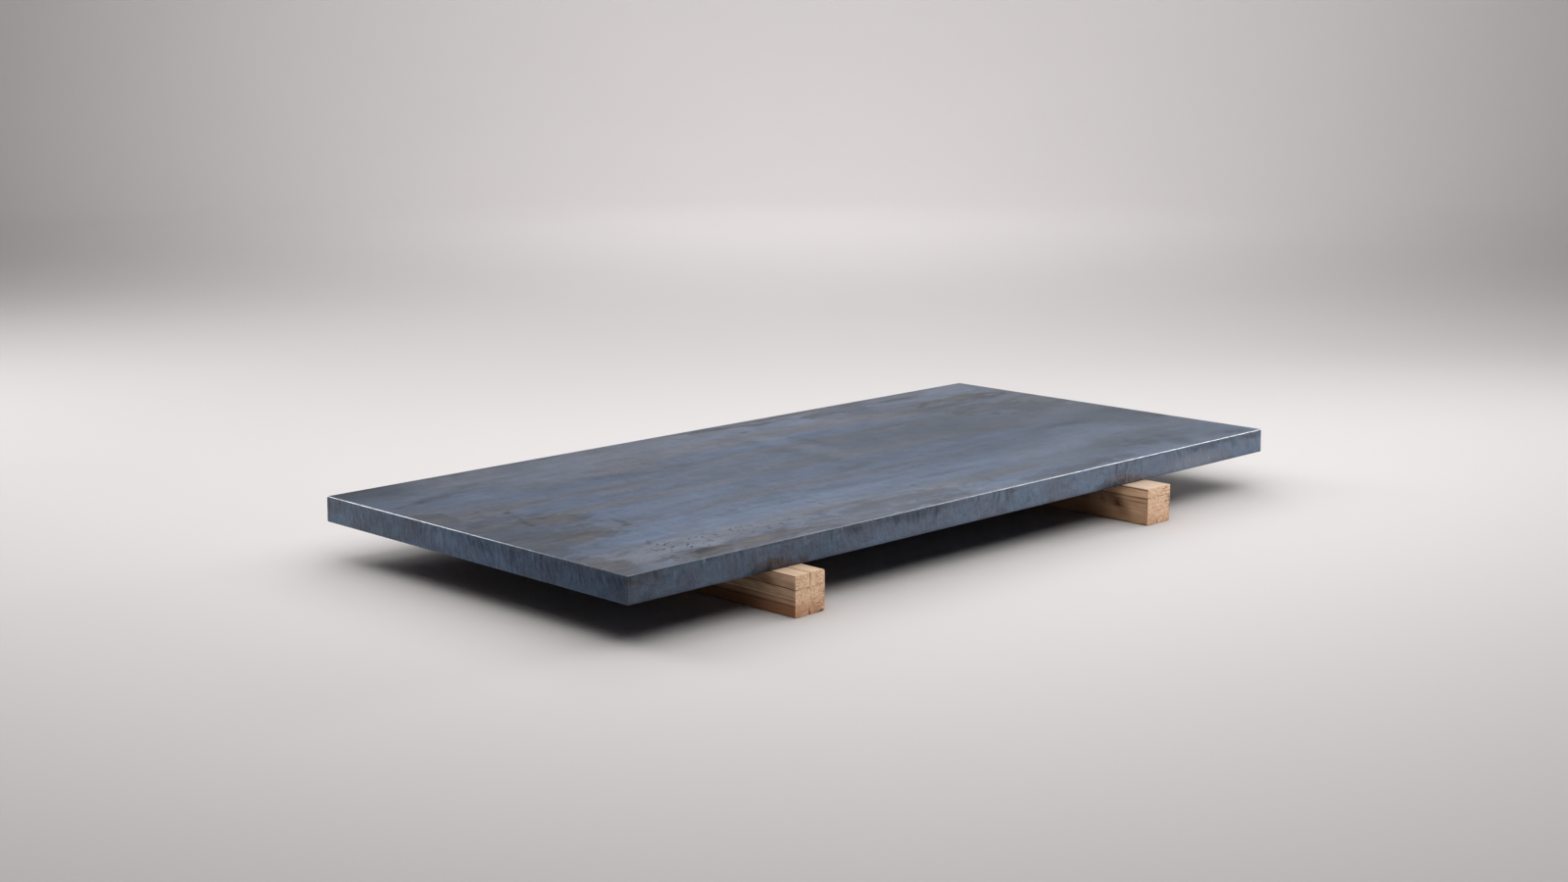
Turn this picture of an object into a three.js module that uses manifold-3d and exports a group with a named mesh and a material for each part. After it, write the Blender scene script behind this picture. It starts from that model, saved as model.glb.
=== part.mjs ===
// A heavy steel plate, thermally cut to size, lying across two sawn softwood bearers.
//
// Millimetres. X runs along the plate's rolled length, Y across it, Z up. The origin is the
// middle of the plate in plan, on the ground that the bearers stand on.

import * as THREE from "three";
import { mergeVertices } from "three/addons/utils/BufferGeometryUtils.js";
import Module from "manifold-3d";

// ---- Driving dimensions -------------------------------------------------------------------

// Plate
const PLATE_LENGTH = 2400;
const PLATE_WIDTH = 1150;
const PLATE_THICKNESS = 65;
const CUT_TAPER = 0.8; // how far the cut face leans in from the lower edge to the upper one
const TOP_ARRIS = 2.5; // radius that the cutting flame leaves along the upper edge
const BOTTOM_ARRIS = 1; // radius left along the lower edge once the slag is knocked off
const CORNER_RADIUS = 2; // radius of the plate's four corners in plan

// Gouges in the upper edge of the plate's front side, measured from its left end
const NICKS = [
  { fromLeft: 228, length: 9, depth: 1.6 },
  { fromLeft: 543, length: 7, depth: 1.3 },
  { fromLeft: 667, length: 6, depth: 1.1 },
];

// Bearers
const BEARER_WIDTH = 100;
const BEARER_HEIGHT = 100;
const LEFT_SET_IN = 485; // plate's left end to the left bearer's middle
const RIGHT_SET_IN = 600; // plate's right end to the right bearer's middle
const LEFT_OVERHANG = 75; // left bearer past the plate's side, front and back
const RIGHT_OVERHANG = 82; // right bearer past the plate's side, front and back
const SAWN_ARRIS = 1.5; // radius of an edge as it leaves the saw
const WANE_RADIUS = 7; // radius of an edge sawn close under the bark
const LEFT_END_SKEW = 2; // degrees that the left bearer's front saw cut is out of square

// ---- Facets -------------------------------------------------------------------------------

const ARC_STEPS = 6; // flats in a quarter turn
const NICK_STEPS = 16; // flats around a gouge
const CHECK_STEPS = 12; // lengths that a drying check is built from
const CHECK_TIP = 0.15; // share of its mouth and depth that a check still has where it ends
const CHECK_WANDER = 1; // how far a check strays from the straight grain
const CHECK_WAVE = 7; // radians that a check's stray goes through along its run
const CUT_MARGIN = 4; // how far a cutter stands outside what it cuts
const MERGE_DISTANCE = 1e-4;

const UP = new THREE.Vector3(0, 0, 1);
const RIGHT = new THREE.Vector3(1, 0, 0);
const BACK = new THREE.Vector3(0, 1, 0);

const wasm = await Module();
wasm.setup();

// ---- Solids from meshes -------------------------------------------------------------------

/** A closed geometry as a manifold-3d solid. */
function toSolid(geometry) {
  const bare = geometry.index ? geometry.toNonIndexed() : geometry.clone();
  bare.deleteAttribute("normal");
  bare.deleteAttribute("uv");
  const merged = mergeVertices(bare, MERGE_DISTANCE);
  return new wasm.Manifold(
    new wasm.Mesh({
      numProp: 3,
      vertProperties: new Float32Array(merged.attributes.position.array),
      triVerts: new Uint32Array(merged.index.array),
    }),
  );
}

/** A manifold-3d solid as a geometry with flat faces. */
function toGeometry(solid) {
  const mesh = solid.getMesh();
  const positions = new Float32Array(mesh.numVert * 3);
  for (let i = 0; i < mesh.numVert; i++) {
    const first = i * mesh.numProp;
    positions.set(mesh.vertProperties.subarray(first, first + 3), i * 3);
  }
  const geometry = new THREE.BufferGeometry();
  geometry.setAttribute("position", new THREE.BufferAttribute(positions, 3));
  geometry.setIndex(new THREE.BufferAttribute(mesh.triVerts, 1));
  const flat = geometry.toNonIndexed();
  flat.computeVertexNormals();
  return flat;
}

/** The solid left when each cutter has been taken out of it. */
function cutAll(solid, cutters) {
  return cutters.reduce((left, cutter) => left.subtract(toSolid(cutter)), solid);
}

/**
 * A closed skin over rings of equal length. Each ring runs anticlockwise seen from the end that
 * the loft travels to, and both ends are capped.
 */
function loft(rings) {
  const count = rings[0].length;
  const positions = rings.flat().flatMap((p) => [p.x, p.y, p.z]);
  const index = [];
  for (let r = 0; r + 1 < rings.length; r++) {
    for (let i = 0; i < count; i++) {
      const a = r * count + i;
      const b = r * count + ((i + 1) % count);
      index.push(a, b, b + count, a, b + count, a + count);
    }
  }
  const last = (rings.length - 1) * count;
  for (let i = 1; i + 1 < count; i++) {
    index.push(0, i + 1, i);
    index.push(last, last + i, last + i + 1);
  }
  const geometry = new THREE.BufferGeometry();
  geometry.setAttribute("position", new THREE.Float32BufferAttribute(positions, 3));
  geometry.setIndex(index);
  return geometry;
}

// ---- Outlines -----------------------------------------------------------------------------

/** A rectangle about the origin with its own radius at each corner, anticlockwise. */
function roundedRectangle(width, height, radii) {
  const { lowerRight, upperRight, upperLeft, lowerLeft } = radii;
  const x = width / 2;
  const y = height / 2;
  const quarter = Math.PI / 2;
  const shape = new THREE.Shape();
  shape.moveTo(-x + lowerLeft, -y);
  shape.lineTo(x - lowerRight, -y);
  shape.absarc(x - lowerRight, -y + lowerRight, lowerRight, -quarter, 0, false);
  shape.lineTo(x, y - upperRight);
  shape.absarc(x - upperRight, y - upperRight, upperRight, 0, quarter, false);
  shape.lineTo(-x + upperLeft, y);
  shape.absarc(-x + upperLeft, y - upperLeft, upperLeft, quarter, 2 * quarter, false);
  shape.lineTo(-x, -y + lowerLeft);
  shape.absarc(-x + lowerLeft, -y + lowerLeft, lowerLeft, 2 * quarter, 3 * quarter, false);
  return shape;
}

/** The outline's points without a repeated first point. */
function outlinePoints(shape) {
  const points = shape.getPoints(ARC_STEPS);
  return points.filter((p, i) => p.distanceTo(points[(i + 1) % points.length]) > MERGE_DISTANCE);
}

// ---- Plate --------------------------------------------------------------------------------

/** The cut edge in section, from the lower face to the upper: how far in, at what height. */
function cutEdgeSection() {
  const section = [];
  for (let i = 0; i <= ARC_STEPS; i++) {
    const turn = ((i / ARC_STEPS) * Math.PI) / 2;
    section.push({
      inset: BOTTOM_ARRIS * (1 - Math.sin(turn)),
      height: BOTTOM_ARRIS * (1 - Math.cos(turn)),
    });
  }
  for (let i = 0; i <= ARC_STEPS; i++) {
    const turn = ((i / ARC_STEPS) * Math.PI) / 2;
    section.push({
      inset: CUT_TAPER + TOP_ARRIS * (1 - Math.cos(turn)),
      height: PLATE_THICKNESS - TOP_ARRIS * (1 - Math.sin(turn)),
    });
  }
  return section;
}

/** The plate's outline at one height of its cut edge. */
function plateRing({ inset, height }) {
  const corner = {
    lowerRight: CORNER_RADIUS,
    upperRight: CORNER_RADIUS,
    upperLeft: CORNER_RADIUS,
    lowerLeft: CORNER_RADIUS,
  };
  const outline = roundedRectangle(PLATE_LENGTH - 2 * inset, PLATE_WIDTH - 2 * inset, corner);
  return outlinePoints(outline).map((p) => new THREE.Vector3(p.x, p.y, height));
}

/**
 * The scoop that a gouge takes out of the front upper edge: an egg lying along the line where
 * the two faces would meet, as long as the gouge is where it breaks the rounded arris.
 */
function nickCutter({ fromLeft, length, depth }) {
  const arrisDepth = TOP_ARRIS * (Math.SQRT2 - 1);
  const reach = arrisDepth + depth;
  const halfLength = length / 2 / Math.sqrt(1 - (arrisDepth / reach) ** 2);
  const scoop = new THREE.SphereGeometry(1, NICK_STEPS, NICK_STEPS / 2);
  scoop.scale(halfLength, reach, reach);
  scoop.translate(-PLATE_LENGTH / 2 + fromLeft, -PLATE_WIDTH / 2 + CUT_TAPER, PLATE_THICKNESS);
  return scoop;
}

function plateGeometry() {
  const blank = toSolid(loft(cutEdgeSection().map(plateRing)));
  return toGeometry(cutAll(blank, NICKS.map(nickCutter)));
}

// ---- Bearers ------------------------------------------------------------------------------

// The four long faces of a bearer: the way each one looks, the way across it, and the distance
// from the section's middle to it.
const FACES = {
  top: { outward: UP, across: RIGHT, reach: BEARER_HEIGHT / 2 },
  bottom: { outward: UP.clone().negate(), across: RIGHT, reach: BEARER_HEIGHT / 2 },
  left: { outward: RIGHT.clone().negate(), across: UP, reach: BEARER_WIDTH / 2 },
  right: { outward: RIGHT, across: UP, reach: BEARER_WIDTH / 2 },
};

/**
 * The opening of one drying check, about the middle of its bearer. It starts past a sawn end,
 * where it is widest and deepest, follows the grain with a slight wander, and closes where its
 * run ends.
 */
function checkCutter(length, { face, end, offset, mouth, depth, run }) {
  const { outward, across, reach } = FACES[face];
  const inward = end === "front" ? 1 : -1;
  const start = -inward * (length / 2);
  const rings = [];
  for (let i = 0; i <= CHECK_STEPS; i++) {
    const share = i / CHECK_STEPS;
    const open = Math.sqrt(1 - (1 - CHECK_TIP ** 2) * share);
    const drift = CHECK_WANDER * Math.sin(CHECK_WAVE * share + offset) * share;
    const along = start + inward * (i === 0 ? -CUT_MARGIN : run * share);
    const mouthMiddle = BACK.clone().multiplyScalar(along);
    mouthMiddle.addScaledVector(across, offset + drift);
    mouthMiddle.addScaledVector(outward, reach);
    const outside = mouthMiddle.clone().addScaledVector(outward, CUT_MARGIN);
    const halfMouth = (open * mouth) / 2;
    const flare = halfMouth * (1 + CUT_MARGIN / (open * depth));
    rings.push([
      outside.clone().addScaledVector(across, -flare),
      outside.clone().addScaledVector(across, flare),
      mouthMiddle.clone().addScaledVector(outward, -open * depth),
    ]);
  }
  const facing = new THREE.Vector3().crossVectors(across, outward).dot(BACK) * inward;
  return loft(facing > 0 ? rings.map((ring) => ring.reverse()) : rings);
}

/**
 * A block that trims a bearer's front end to a saw cut that is a little out of square: it takes
 * nothing off at the left face, and most at the right one.
 */
function endTrim(length, skew) {
  const width = BEARER_WIDTH + 2 * CUT_MARGIN;
  const block = new THREE.BoxGeometry(width, width, BEARER_HEIGHT + 2 * CUT_MARGIN);
  block.translate(width / 2 - CUT_MARGIN, -width / 2, 0);
  block.rotateZ(THREE.MathUtils.degToRad(skew));
  block.translate(-BEARER_WIDTH / 2, -length / 2, 0);
  return block;
}

/** One length of sawn timber, with its checks and saw cuts, its underside at the origin. */
function bearerGeometry({ overhang, endSkew, arrises, checks }) {
  const length = PLATE_WIDTH + 2 * overhang;
  const section = roundedRectangle(BEARER_WIDTH, BEARER_HEIGHT, arrises);
  const timber = new THREE.ExtrudeGeometry(section, {
    depth: length,
    curveSegments: ARC_STEPS,
    bevelEnabled: false,
  });
  timber.translate(0, 0, -length / 2);
  timber.rotateX(Math.PI / 2);
  const cutters = checks.map((check) => checkCutter(length, check));
  if (endSkew > 0) {
    cutters.push(endTrim(length, endSkew));
  }
  const cut = toGeometry(cutAll(toSolid(timber), cutters));
  cut.translate(0, 0, BEARER_HEIGHT / 2);
  return cut;
}

const LEFT_BEARER = {
  overhang: LEFT_OVERHANG,
  endSkew: LEFT_END_SKEW,
  arrises: {
    lowerRight: WANE_RADIUS,
    upperRight: WANE_RADIUS,
    upperLeft: SAWN_ARRIS,
    lowerLeft: SAWN_ARRIS,
  },
  checks: [
    { face: "top", end: "front", offset: 0, mouth: 2.8, depth: 34, run: 420 },
    { face: "bottom", end: "front", offset: -3, mouth: 5.5, depth: 25, run: 260 },
    { face: "left", end: "front", offset: 17, mouth: 1.4, depth: 8, run: 640 },
    { face: "top", end: "back", offset: 6, mouth: 2.4, depth: 28, run: 300 },
  ],
};

const RIGHT_BEARER = {
  overhang: RIGHT_OVERHANG,
  endSkew: 0,
  arrises: {
    lowerRight: WANE_RADIUS,
    upperRight: SAWN_ARRIS,
    upperLeft: SAWN_ARRIS,
    lowerLeft: SAWN_ARRIS,
  },
  checks: [
    { face: "left", end: "front", offset: 22, mouth: 1.8, depth: 52, run: 560 },
    { face: "right", end: "front", offset: 14, mouth: 1.4, depth: 14, run: 180 },
    { face: "bottom", end: "front", offset: -6, mouth: 3, depth: 19, run: 210 },
    { face: "bottom", end: "back", offset: 7, mouth: 2.6, depth: 30, run: 280 },
  ],
};

// ---- Assembly -----------------------------------------------------------------------------

const millScale = new THREE.MeshStandardMaterial({
  color: 0x6f7787,
  roughness: 0.5,
  metalness: 0.6,
});
const sawnSoftwood = new THREE.MeshStandardMaterial({
  color: 0xc9ab88,
  roughness: 0.8,
  metalness: 0,
});

/** A named mesh with its middle at x and its underside at z. */
function place(name, geometry, material, x, z) {
  const mesh = new THREE.Mesh(geometry, material);
  mesh.name = name;
  mesh.position.set(x, 0, z);
  return mesh;
}

const leftBearerX = -PLATE_LENGTH / 2 + LEFT_SET_IN;
const rightBearerX = PLATE_LENGTH / 2 - RIGHT_SET_IN;

const plateOnBearers = new THREE.Group();
plateOnBearers.add(
  place("steel_plate", plateGeometry(), millScale, 0, BEARER_HEIGHT),
  place("left_bearer", bearerGeometry(LEFT_BEARER), sawnSoftwood, leftBearerX, 0),
  place("right_bearer", bearerGeometry(RIGHT_BEARER), sawnSoftwood, rightBearerX, 0),
);

export default plateOnBearers;
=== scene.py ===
"""A thick mill-scaled steel plate lying on two sawn softwood bearers, on a pale studio floor.

Everything is in metres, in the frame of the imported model: X along the plate, Y across it, Z up,
with the origin on the floor under the plate's middle.
"""

import functools
import logging
import math
from contextlib import contextmanager
from dataclasses import dataclass
from enum import Enum
from typing import Any, Callable, Iterator, Sequence, Union

import bmesh
import bpy
from mathutils import Matrix, Vector


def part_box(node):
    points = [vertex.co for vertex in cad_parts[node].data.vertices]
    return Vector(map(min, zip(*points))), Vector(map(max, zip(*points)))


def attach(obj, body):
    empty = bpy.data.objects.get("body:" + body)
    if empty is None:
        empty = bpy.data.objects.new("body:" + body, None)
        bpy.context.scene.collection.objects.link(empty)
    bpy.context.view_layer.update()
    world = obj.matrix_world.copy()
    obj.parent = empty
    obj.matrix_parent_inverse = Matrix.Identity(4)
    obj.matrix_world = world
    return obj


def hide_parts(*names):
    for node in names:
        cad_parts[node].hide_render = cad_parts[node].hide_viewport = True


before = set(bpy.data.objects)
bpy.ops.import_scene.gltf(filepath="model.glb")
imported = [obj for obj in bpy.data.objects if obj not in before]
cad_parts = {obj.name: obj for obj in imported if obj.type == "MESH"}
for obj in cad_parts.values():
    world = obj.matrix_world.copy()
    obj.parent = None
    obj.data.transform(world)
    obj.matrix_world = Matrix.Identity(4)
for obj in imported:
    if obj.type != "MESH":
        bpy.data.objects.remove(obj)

LOG = logging.getLogger("plate")
HAIR = 1e-5  # how near two places count as one
ENDLESS = 1000.0  # half the size of a mark along an axis that it has no end on

Colour = tuple[float, float, float]
Triple = tuple[float, float, float]


# ---- Shader sums ----------------------------------------------------------------------------


class Wire:
    """A socket that carries numbers through a material, with Python's operators for its sums."""

    def __init__(self, tree: "ShaderTree", socket: bpy.types.NodeSocket) -> None:
        """Holds one output socket and the tree that it belongs to."""
        self.tree = tree
        self.socket = socket

    def __add__(self, other: "Number") -> "Wire":
        """The sum."""
        return self.tree.sum("ADD", self, other)

    __radd__ = __add__

    def __mul__(self, other: "Number") -> "Wire":
        """The product."""
        return self.tree.sum("MULTIPLY", self, other)

    __rmul__ = __mul__

    def __sub__(self, other: "Number") -> "Wire":
        """This less the other."""
        return self.tree.sum("SUBTRACT", self, other)

    def __rsub__(self, other: "Number") -> "Wire":
        """The other less this."""
        return self.tree.sum("SUBTRACT", other, self)

    def __truediv__(self, other: "Number") -> "Wire":
        """This over the other."""
        return self.tree.sum("DIVIDE", self, other)

    def __rtruediv__(self, other: "Number") -> "Wire":
        """The other over this."""
        return self.tree.sum("DIVIDE", other, self)

    def fraction(self) -> "Wire":
        """What is left above the whole number."""
        return self.tree.sum("FRACT", self)

    def size(self) -> "Wire":
        """The value without its sign."""
        return self.tree.sum("ABSOLUTE", self)

    def larger(self, other: "Number") -> "Wire":
        """The larger of the two."""
        return self.tree.sum("MAXIMUM", self, other)

    def smaller(self, other: "Number") -> "Wire":
        """The smaller of the two."""
        return self.tree.sum("MINIMUM", self, other)

    def share(self, low: float, high: float) -> "Wire":
        """How far it is on the way from low, at 0, to high, at 1."""
        return (self - low) * (1 / (high - low))

    def rise(self, low: float, high: float) -> "Wire":
        """A smooth step. It falls where high is under low.

        Args:
            low: Where it is 0.
            high: Where it is 1.

        Returns:
            From 0 to 1.
        """
        start, end = min(low, high), max(low, high)
        fall = float(high < low)
        sockets = {
            "Value": self, "From Min": start, "From Max": end, "To Min": fall, "To Max": 1 - fall
        }
        step = {"interpolation_type": "SMOOTHSTEP"}
        return self.tree.wire("ShaderNodeMapRange", "Result", step, sockets)


Number = Union[Wire, float]


def strongest(values: Sequence[Wire]) -> Wire | None:
    """The largest of several values at each place, or nothing where there are none."""
    return functools.reduce(Wire.larger, values) if values else None


class ShaderTree:
    """A material under construction, with one Principled shader at its end."""

    def __init__(self, name: str) -> None:
        """Starts an empty material.

        Args:
            name: The material's name.
        """
        self.material = bpy.data.materials.new(name)
        self.material.use_nodes = True
        self.nodes = self.material.node_tree.nodes
        self.links = self.material.node_tree.links
        self.nodes.clear()
        self.place = self.wire("ShaderNodeTexCoord", "Object")

    def node(
        self,
        kind: str,
        settings: dict[str, Any] | None = None,
        sockets: dict[str | int, Any] | None = None,
    ) -> bpy.types.Node:
        """Adds a node.

        Args:
            kind: The node's type.
            settings: Its properties, set before its sockets.
            sockets: A value or a Wire for each input that is used.

        Returns:
            The node.
        """
        made = self.nodes.new(kind)
        for name, value in (settings or {}).items():
            setattr(made, name, value)
        for name, value in (sockets or {}).items():
            if isinstance(value, Wire):
                self.links.new(value.socket, made.inputs[name])
            else:
                made.inputs[name].default_value = value
        return made

    def wire(self, kind: str, output: str | int, *given: dict[str | int, Any] | None) -> Wire:
        """One output of a new node, which takes its settings and its sockets as node() does."""
        return Wire(self, self.node(kind, *given).outputs[output])

    def sum(self, operation: str, *values: Number) -> Wire:
        """A Math node on up to three values."""
        return self.wire("ShaderNodeMath", 0, {"operation": operation}, dict(enumerate(values)))

    def vector(self, operation: str, *values: Wire | Triple) -> Wire:
        """A Vector Math node on up to three vectors."""
        sockets = dict(enumerate(values))
        return self.wire("ShaderNodeVectorMath", 0, {"operation": operation}, sockets)

    def length(self, at: Wire) -> Wire:
        """The distance of coordinates from their origin."""
        return self.wire("ShaderNodeVectorMath", "Value", {"operation": "LENGTH"}, {0: at})

    def moved(self, at: Wire, scale: Triple, shift: Triple) -> Wire:
        """Coordinates times a scale, plus a shift."""
        return self.vector("MULTIPLY_ADD", at, scale, shift)

    def about(self, at: Wire, middle: Triple, half: Triple, turn: Triple = (0, 0, 0)) -> Wire:
        """Coordinates about a middle, counted in half sizes.

        Args:
            at: The coordinates.
            middle: The place that becomes the origin.
            half: The length that becomes 1 on each axis.
            turn: Degrees that the new axes are turned about X, Y and Z.

        Returns:
            The new coordinates.
        """
        if any(turn):
            turned = tuple(math.radians(angle) for angle in turn)
            sockets = {"Vector": at, "Location": middle, "Rotation": turned, "Scale": half}
            return self.wire("ShaderNodeMapping", 0, {"vector_type": "TEXTURE"}, sockets)
        # A Mapping node uses up the renderer's stack, so it is kept for what is turned.
        per_half = tuple(1 / size for size in half)
        return self.moved(at, per_half, tuple(-x / size for x, size in zip(middle, half)))

    def split(self, at: Wire) -> tuple[Wire, Wire, Wire]:
        """The three parts of coordinates."""
        outputs = self.node("ShaderNodeSeparateXYZ", None, {"Vector": at}).outputs
        return tuple(Wire(self, output) for output in outputs)

    def join(self, x: Number, y: Number, z: Number) -> Wire:
        """Coordinates from three parts."""
        return self.wire("ShaderNodeCombineXYZ", 0, None, {0: x, 1: y, 2: z})

    def ripple(self, value: Wire, per_unit: float, seed: float) -> Wire:
        """Soft noise along a single value, about 0.5 in the middle."""
        sockets = {"W": value * per_unit + seed, "Scale": 1.0, "Detail": 2.0}
        return self.wire("ShaderNodeTexNoise", "Fac", {"noise_dimensions": "1D"}, sockets)

    def noise(
        self,
        at: Wire,
        per_metre: Triple | float,
        seed: float,
        detail: float = 3.0,
        rough: float = 0.5,
        warp: float = 0.0,
    ) -> Wire:
        """Soft noise, about 0.5 in the middle.

        Args:
            at: The coordinates.
            per_metre: How many swells to a metre, on each axis or on all.
            seed: Another pattern for another number.
            detail: How many finer layers it has.
            rough: How strong those layers are.
            warp: How far it is bent.

        Returns:
            The noise.
        """
        scale = per_metre if isinstance(per_metre, tuple) else (per_metre,) * 3
        sockets = {
            "Vector": self.moved(at, scale, (seed, -seed, 2 * seed)),
            "Scale": 1.0,
            "Detail": detail,
            "Roughness": rough,
            "Distortion": warp,
        }
        return self.wire("ShaderNodeTexNoise", "Fac", None, sockets)

    def warped(self, at: Wire, per_metre: Triple, reach: float, seed: float) -> Wire:
        """Coordinates pushed about by noise.

        Args:
            at: The coordinates.
            per_metre: How many swells to a metre on each axis.
            reach: The widest push, in metres.
            seed: Another pattern for another number.

        Returns:
            The new coordinates.
        """
        swells = self.moved(at, per_metre, (seed, seed, -seed))
        sockets = {"Vector": swells, "Scale": 1.0, "Detail": 3.0}
        cloud = self.wire("ShaderNodeTexNoise", "Color", None, sockets)
        centred = self.vector("SUBTRACT", cloud, (0.5, 0.5, 0.5))
        return self.vector("MULTIPLY_ADD", centred, (2 * reach,) * 3, at)

    def blend(self, share: Number, first: Wire | Colour, second: Wire | Colour) -> Wire:
        """A colour between two.

        Args:
            share: 0 for the first, 1 for the second.
            first: A colour.
            second: A colour.

        Returns:
            The colour between them.
        """
        sockets = {0: share}
        for place, colour in ((6, first), (7, second)):
            sockets[place] = colour if isinstance(colour, Wire) else (*colour, 1.0)
        return self.wire("ShaderNodeMix", 2, {"data_type": "RGBA"}, sockets)

    def layered(self, base: Wire | Colour, *coats: tuple[Number, Colour]) -> Wire | Colour:
        """Colours laid one over another.

        Args:
            base: The lowest colour.
            coats: How far each coat covers what is under it, from 0 to 1, and its colour.

        Returns:
            The colour that shows.
        """
        for share, coat in coats:
            base = self.blend(share, base, coat)
        return base

    def shaded(self, colour: Wire | Colour, light: Number) -> Wire:
        """A colour times a brightness."""
        sockets = {0: colour, "Scale": light}
        return self.wire("ShaderNodeVectorMath", 0, {"operation": "SCALE"}, sockets)

    def finish(
        self,
        colour: Wire,
        rough: Number,
        height: Wire,
        depth: float,
        **constants: float | Colour,
    ) -> bpy.types.Material:
        """Ends the material in its Principled shader.

        Args:
            colour: The base colour.
            rough: The roughness.
            height: The relief, from 0 to 1.
            depth: How deep that relief is, in metres.
            constants: Values set directly on the shader's own sockets.

        Returns:
            The finished material.
        """
        relief = self.wire("ShaderNodeBump", "Normal", None, {"Height": height, "Distance": depth})
        sockets = {"Base Color": colour, "Roughness": rough, "Normal": relief}
        for name, value in constants.items():
            sockets[name.replace("_", " ")] = (*value, 1.0) if isinstance(value, tuple) else value
        shader = self.wire("ShaderNodeBsdfPrincipled", "BSDF", None, sockets)
        self.node("ShaderNodeOutputMaterial", None, {"Surface": shader})
        return self.material


# ---- Bench work -----------------------------------------------------------------------------


class Element(Enum):
    """What a pick chooses from, as edit mode names it."""

    CORNERS = "VERT"
    EDGES = "EDGE"
    FACES = "FACE"


Rule = Callable[[Vector, Vector], bool]


class Workpiece:
    """One mesh under work, shaped in edit mode by where its parts lie."""

    def __init__(self, name: str, size: Triple) -> None:
        """Takes over the primitive that was just added and gives it its name and size.

        Args:
            name: The piece's name.
            size: The piece's length along each axis, where the primitive is 1 m long.
        """
        self.shape = bpy.context.object
        self.shape.name = name
        self.shape.data.name = name
        self.shape.scale = size
        bpy.ops.object.transform_apply(location=True, rotation=True, scale=True)

    def activate(self) -> None:
        """Makes this piece the only one selected."""
        bpy.ops.object.select_all(action="DESELECT")
        self.shape.select_set(True)
        bpy.context.view_layer.objects.active = self.shape

    @contextmanager
    def edit(self) -> Iterator[None]:
        """Opens edit mode on this piece alone, with nothing selected, and closes it after."""
        self.activate()
        bpy.ops.object.mode_set(mode="EDIT")
        bpy.ops.mesh.select_all(action="DESELECT")
        yield
        bpy.ops.object.mode_set(mode="OBJECT")

    def pick(self, element: Element, rule: Rule) -> None:
        """Selects what a rule fits, and nothing else, in edit mode.

        Args:
            element: What to choose from.
            rule: Given the element's middle and its normal, or an edge's span, says whether it
                is chosen.
        """
        bpy.ops.mesh.select_mode(type=element.value)
        bpy.ops.mesh.select_all(action="DESELECT")
        mesh = bmesh.from_edit_mesh(self.shape.data)
        if element is Element.CORNERS:
            seen = ((corner, corner.co, corner.normal) for corner in mesh.verts)
        elif element is Element.EDGES:
            ends = ((edge, edge.verts[0].co, edge.verts[1].co) for edge in mesh.edges)
            seen = ((edge, (first + last) / 2, last - first) for edge, first, last in ends)
        else:
            seen = ((face, face.calc_center_median(), face.normal) for face in mesh.faces)
        for part, middle, way in seen:
            if rule(middle, way):
                part.select_set(True)
        mesh.select_flush_mode()
        bmesh.update_edit_mesh(self.shape.data)

    def pick_rim(self) -> None:
        """Selects the open edge all round, in edit mode."""
        bpy.ops.mesh.select_mode(type="EDGE")
        bpy.ops.mesh.select_all(action="SELECT")
        bpy.ops.mesh.region_to_loop()

    def draw_rim(self, wider_x: float, wider_y: float, lift: float) -> None:
        """Draws a new band of faces from the selected rim.

        Args:
            wider_x: How many times as long the new rim is.
            wider_y: How many times as wide it is.
            lift: How far it lies above the old one.
        """
        bpy.ops.mesh.extrude_edges_indiv()
        bpy.ops.transform.resize(value=(wider_x, wider_y, 1.0), center_override=(0.0, 0.0, 0.0))
        bpy.ops.transform.translate(value=(0.0, 0.0, lift))

    def face_outwards(self) -> None:
        """Turns every face of a closed piece outwards, in edit mode."""
        bpy.ops.mesh.select_all(action="SELECT")
        bpy.ops.mesh.normals_make_consistent(inside=False)

    def weigh(self, group: str, weight: Callable[[Vector], float]) -> None:
        """Makes a vertex group.

        Args:
            group: The group's name.
            weight: Gives the weight at a place, from 0 to 1.
        """
        made = self.shape.vertex_groups.new(name=group)
        for corner in self.shape.data.vertices:
            made.add([corner.index], weight(corner.co), "REPLACE")

    def apply(self, kind: str, **settings: Any) -> None:
        """Adds a modifier and applies it.

        Args:
            kind: The modifier's type.
            settings: Its settings.
        """
        self.activate()
        modifier = self.shape.modifiers.new(kind.lower(), kind)
        for name, value in settings.items():
            setattr(modifier, name, value)
        bpy.ops.object.modifier_apply(modifier=modifier.name)

    def dress(self, finish: bpy.types.Material, rule: Rule | None = None) -> None:
        """Gives the faces that a rule fits a finish, or all of them.

        Args:
            finish: The material.
            rule: Given a face's middle and normal, says whether it takes the finish.
        """
        self.shape.data.materials.append(finish)
        if rule is None:
            return
        self.shape.active_material_index = len(self.shape.data.materials) - 1
        with self.edit():
            self.pick(Element.FACES, rule)
            bpy.ops.object.material_slot_assign()

    def smooth(self, degrees: float) -> None:
        """Smooths the shading over edges flatter than an angle."""
        self.activate()
        bpy.ops.object.shade_smooth_by_angle(angle=math.radians(degrees))


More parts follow.
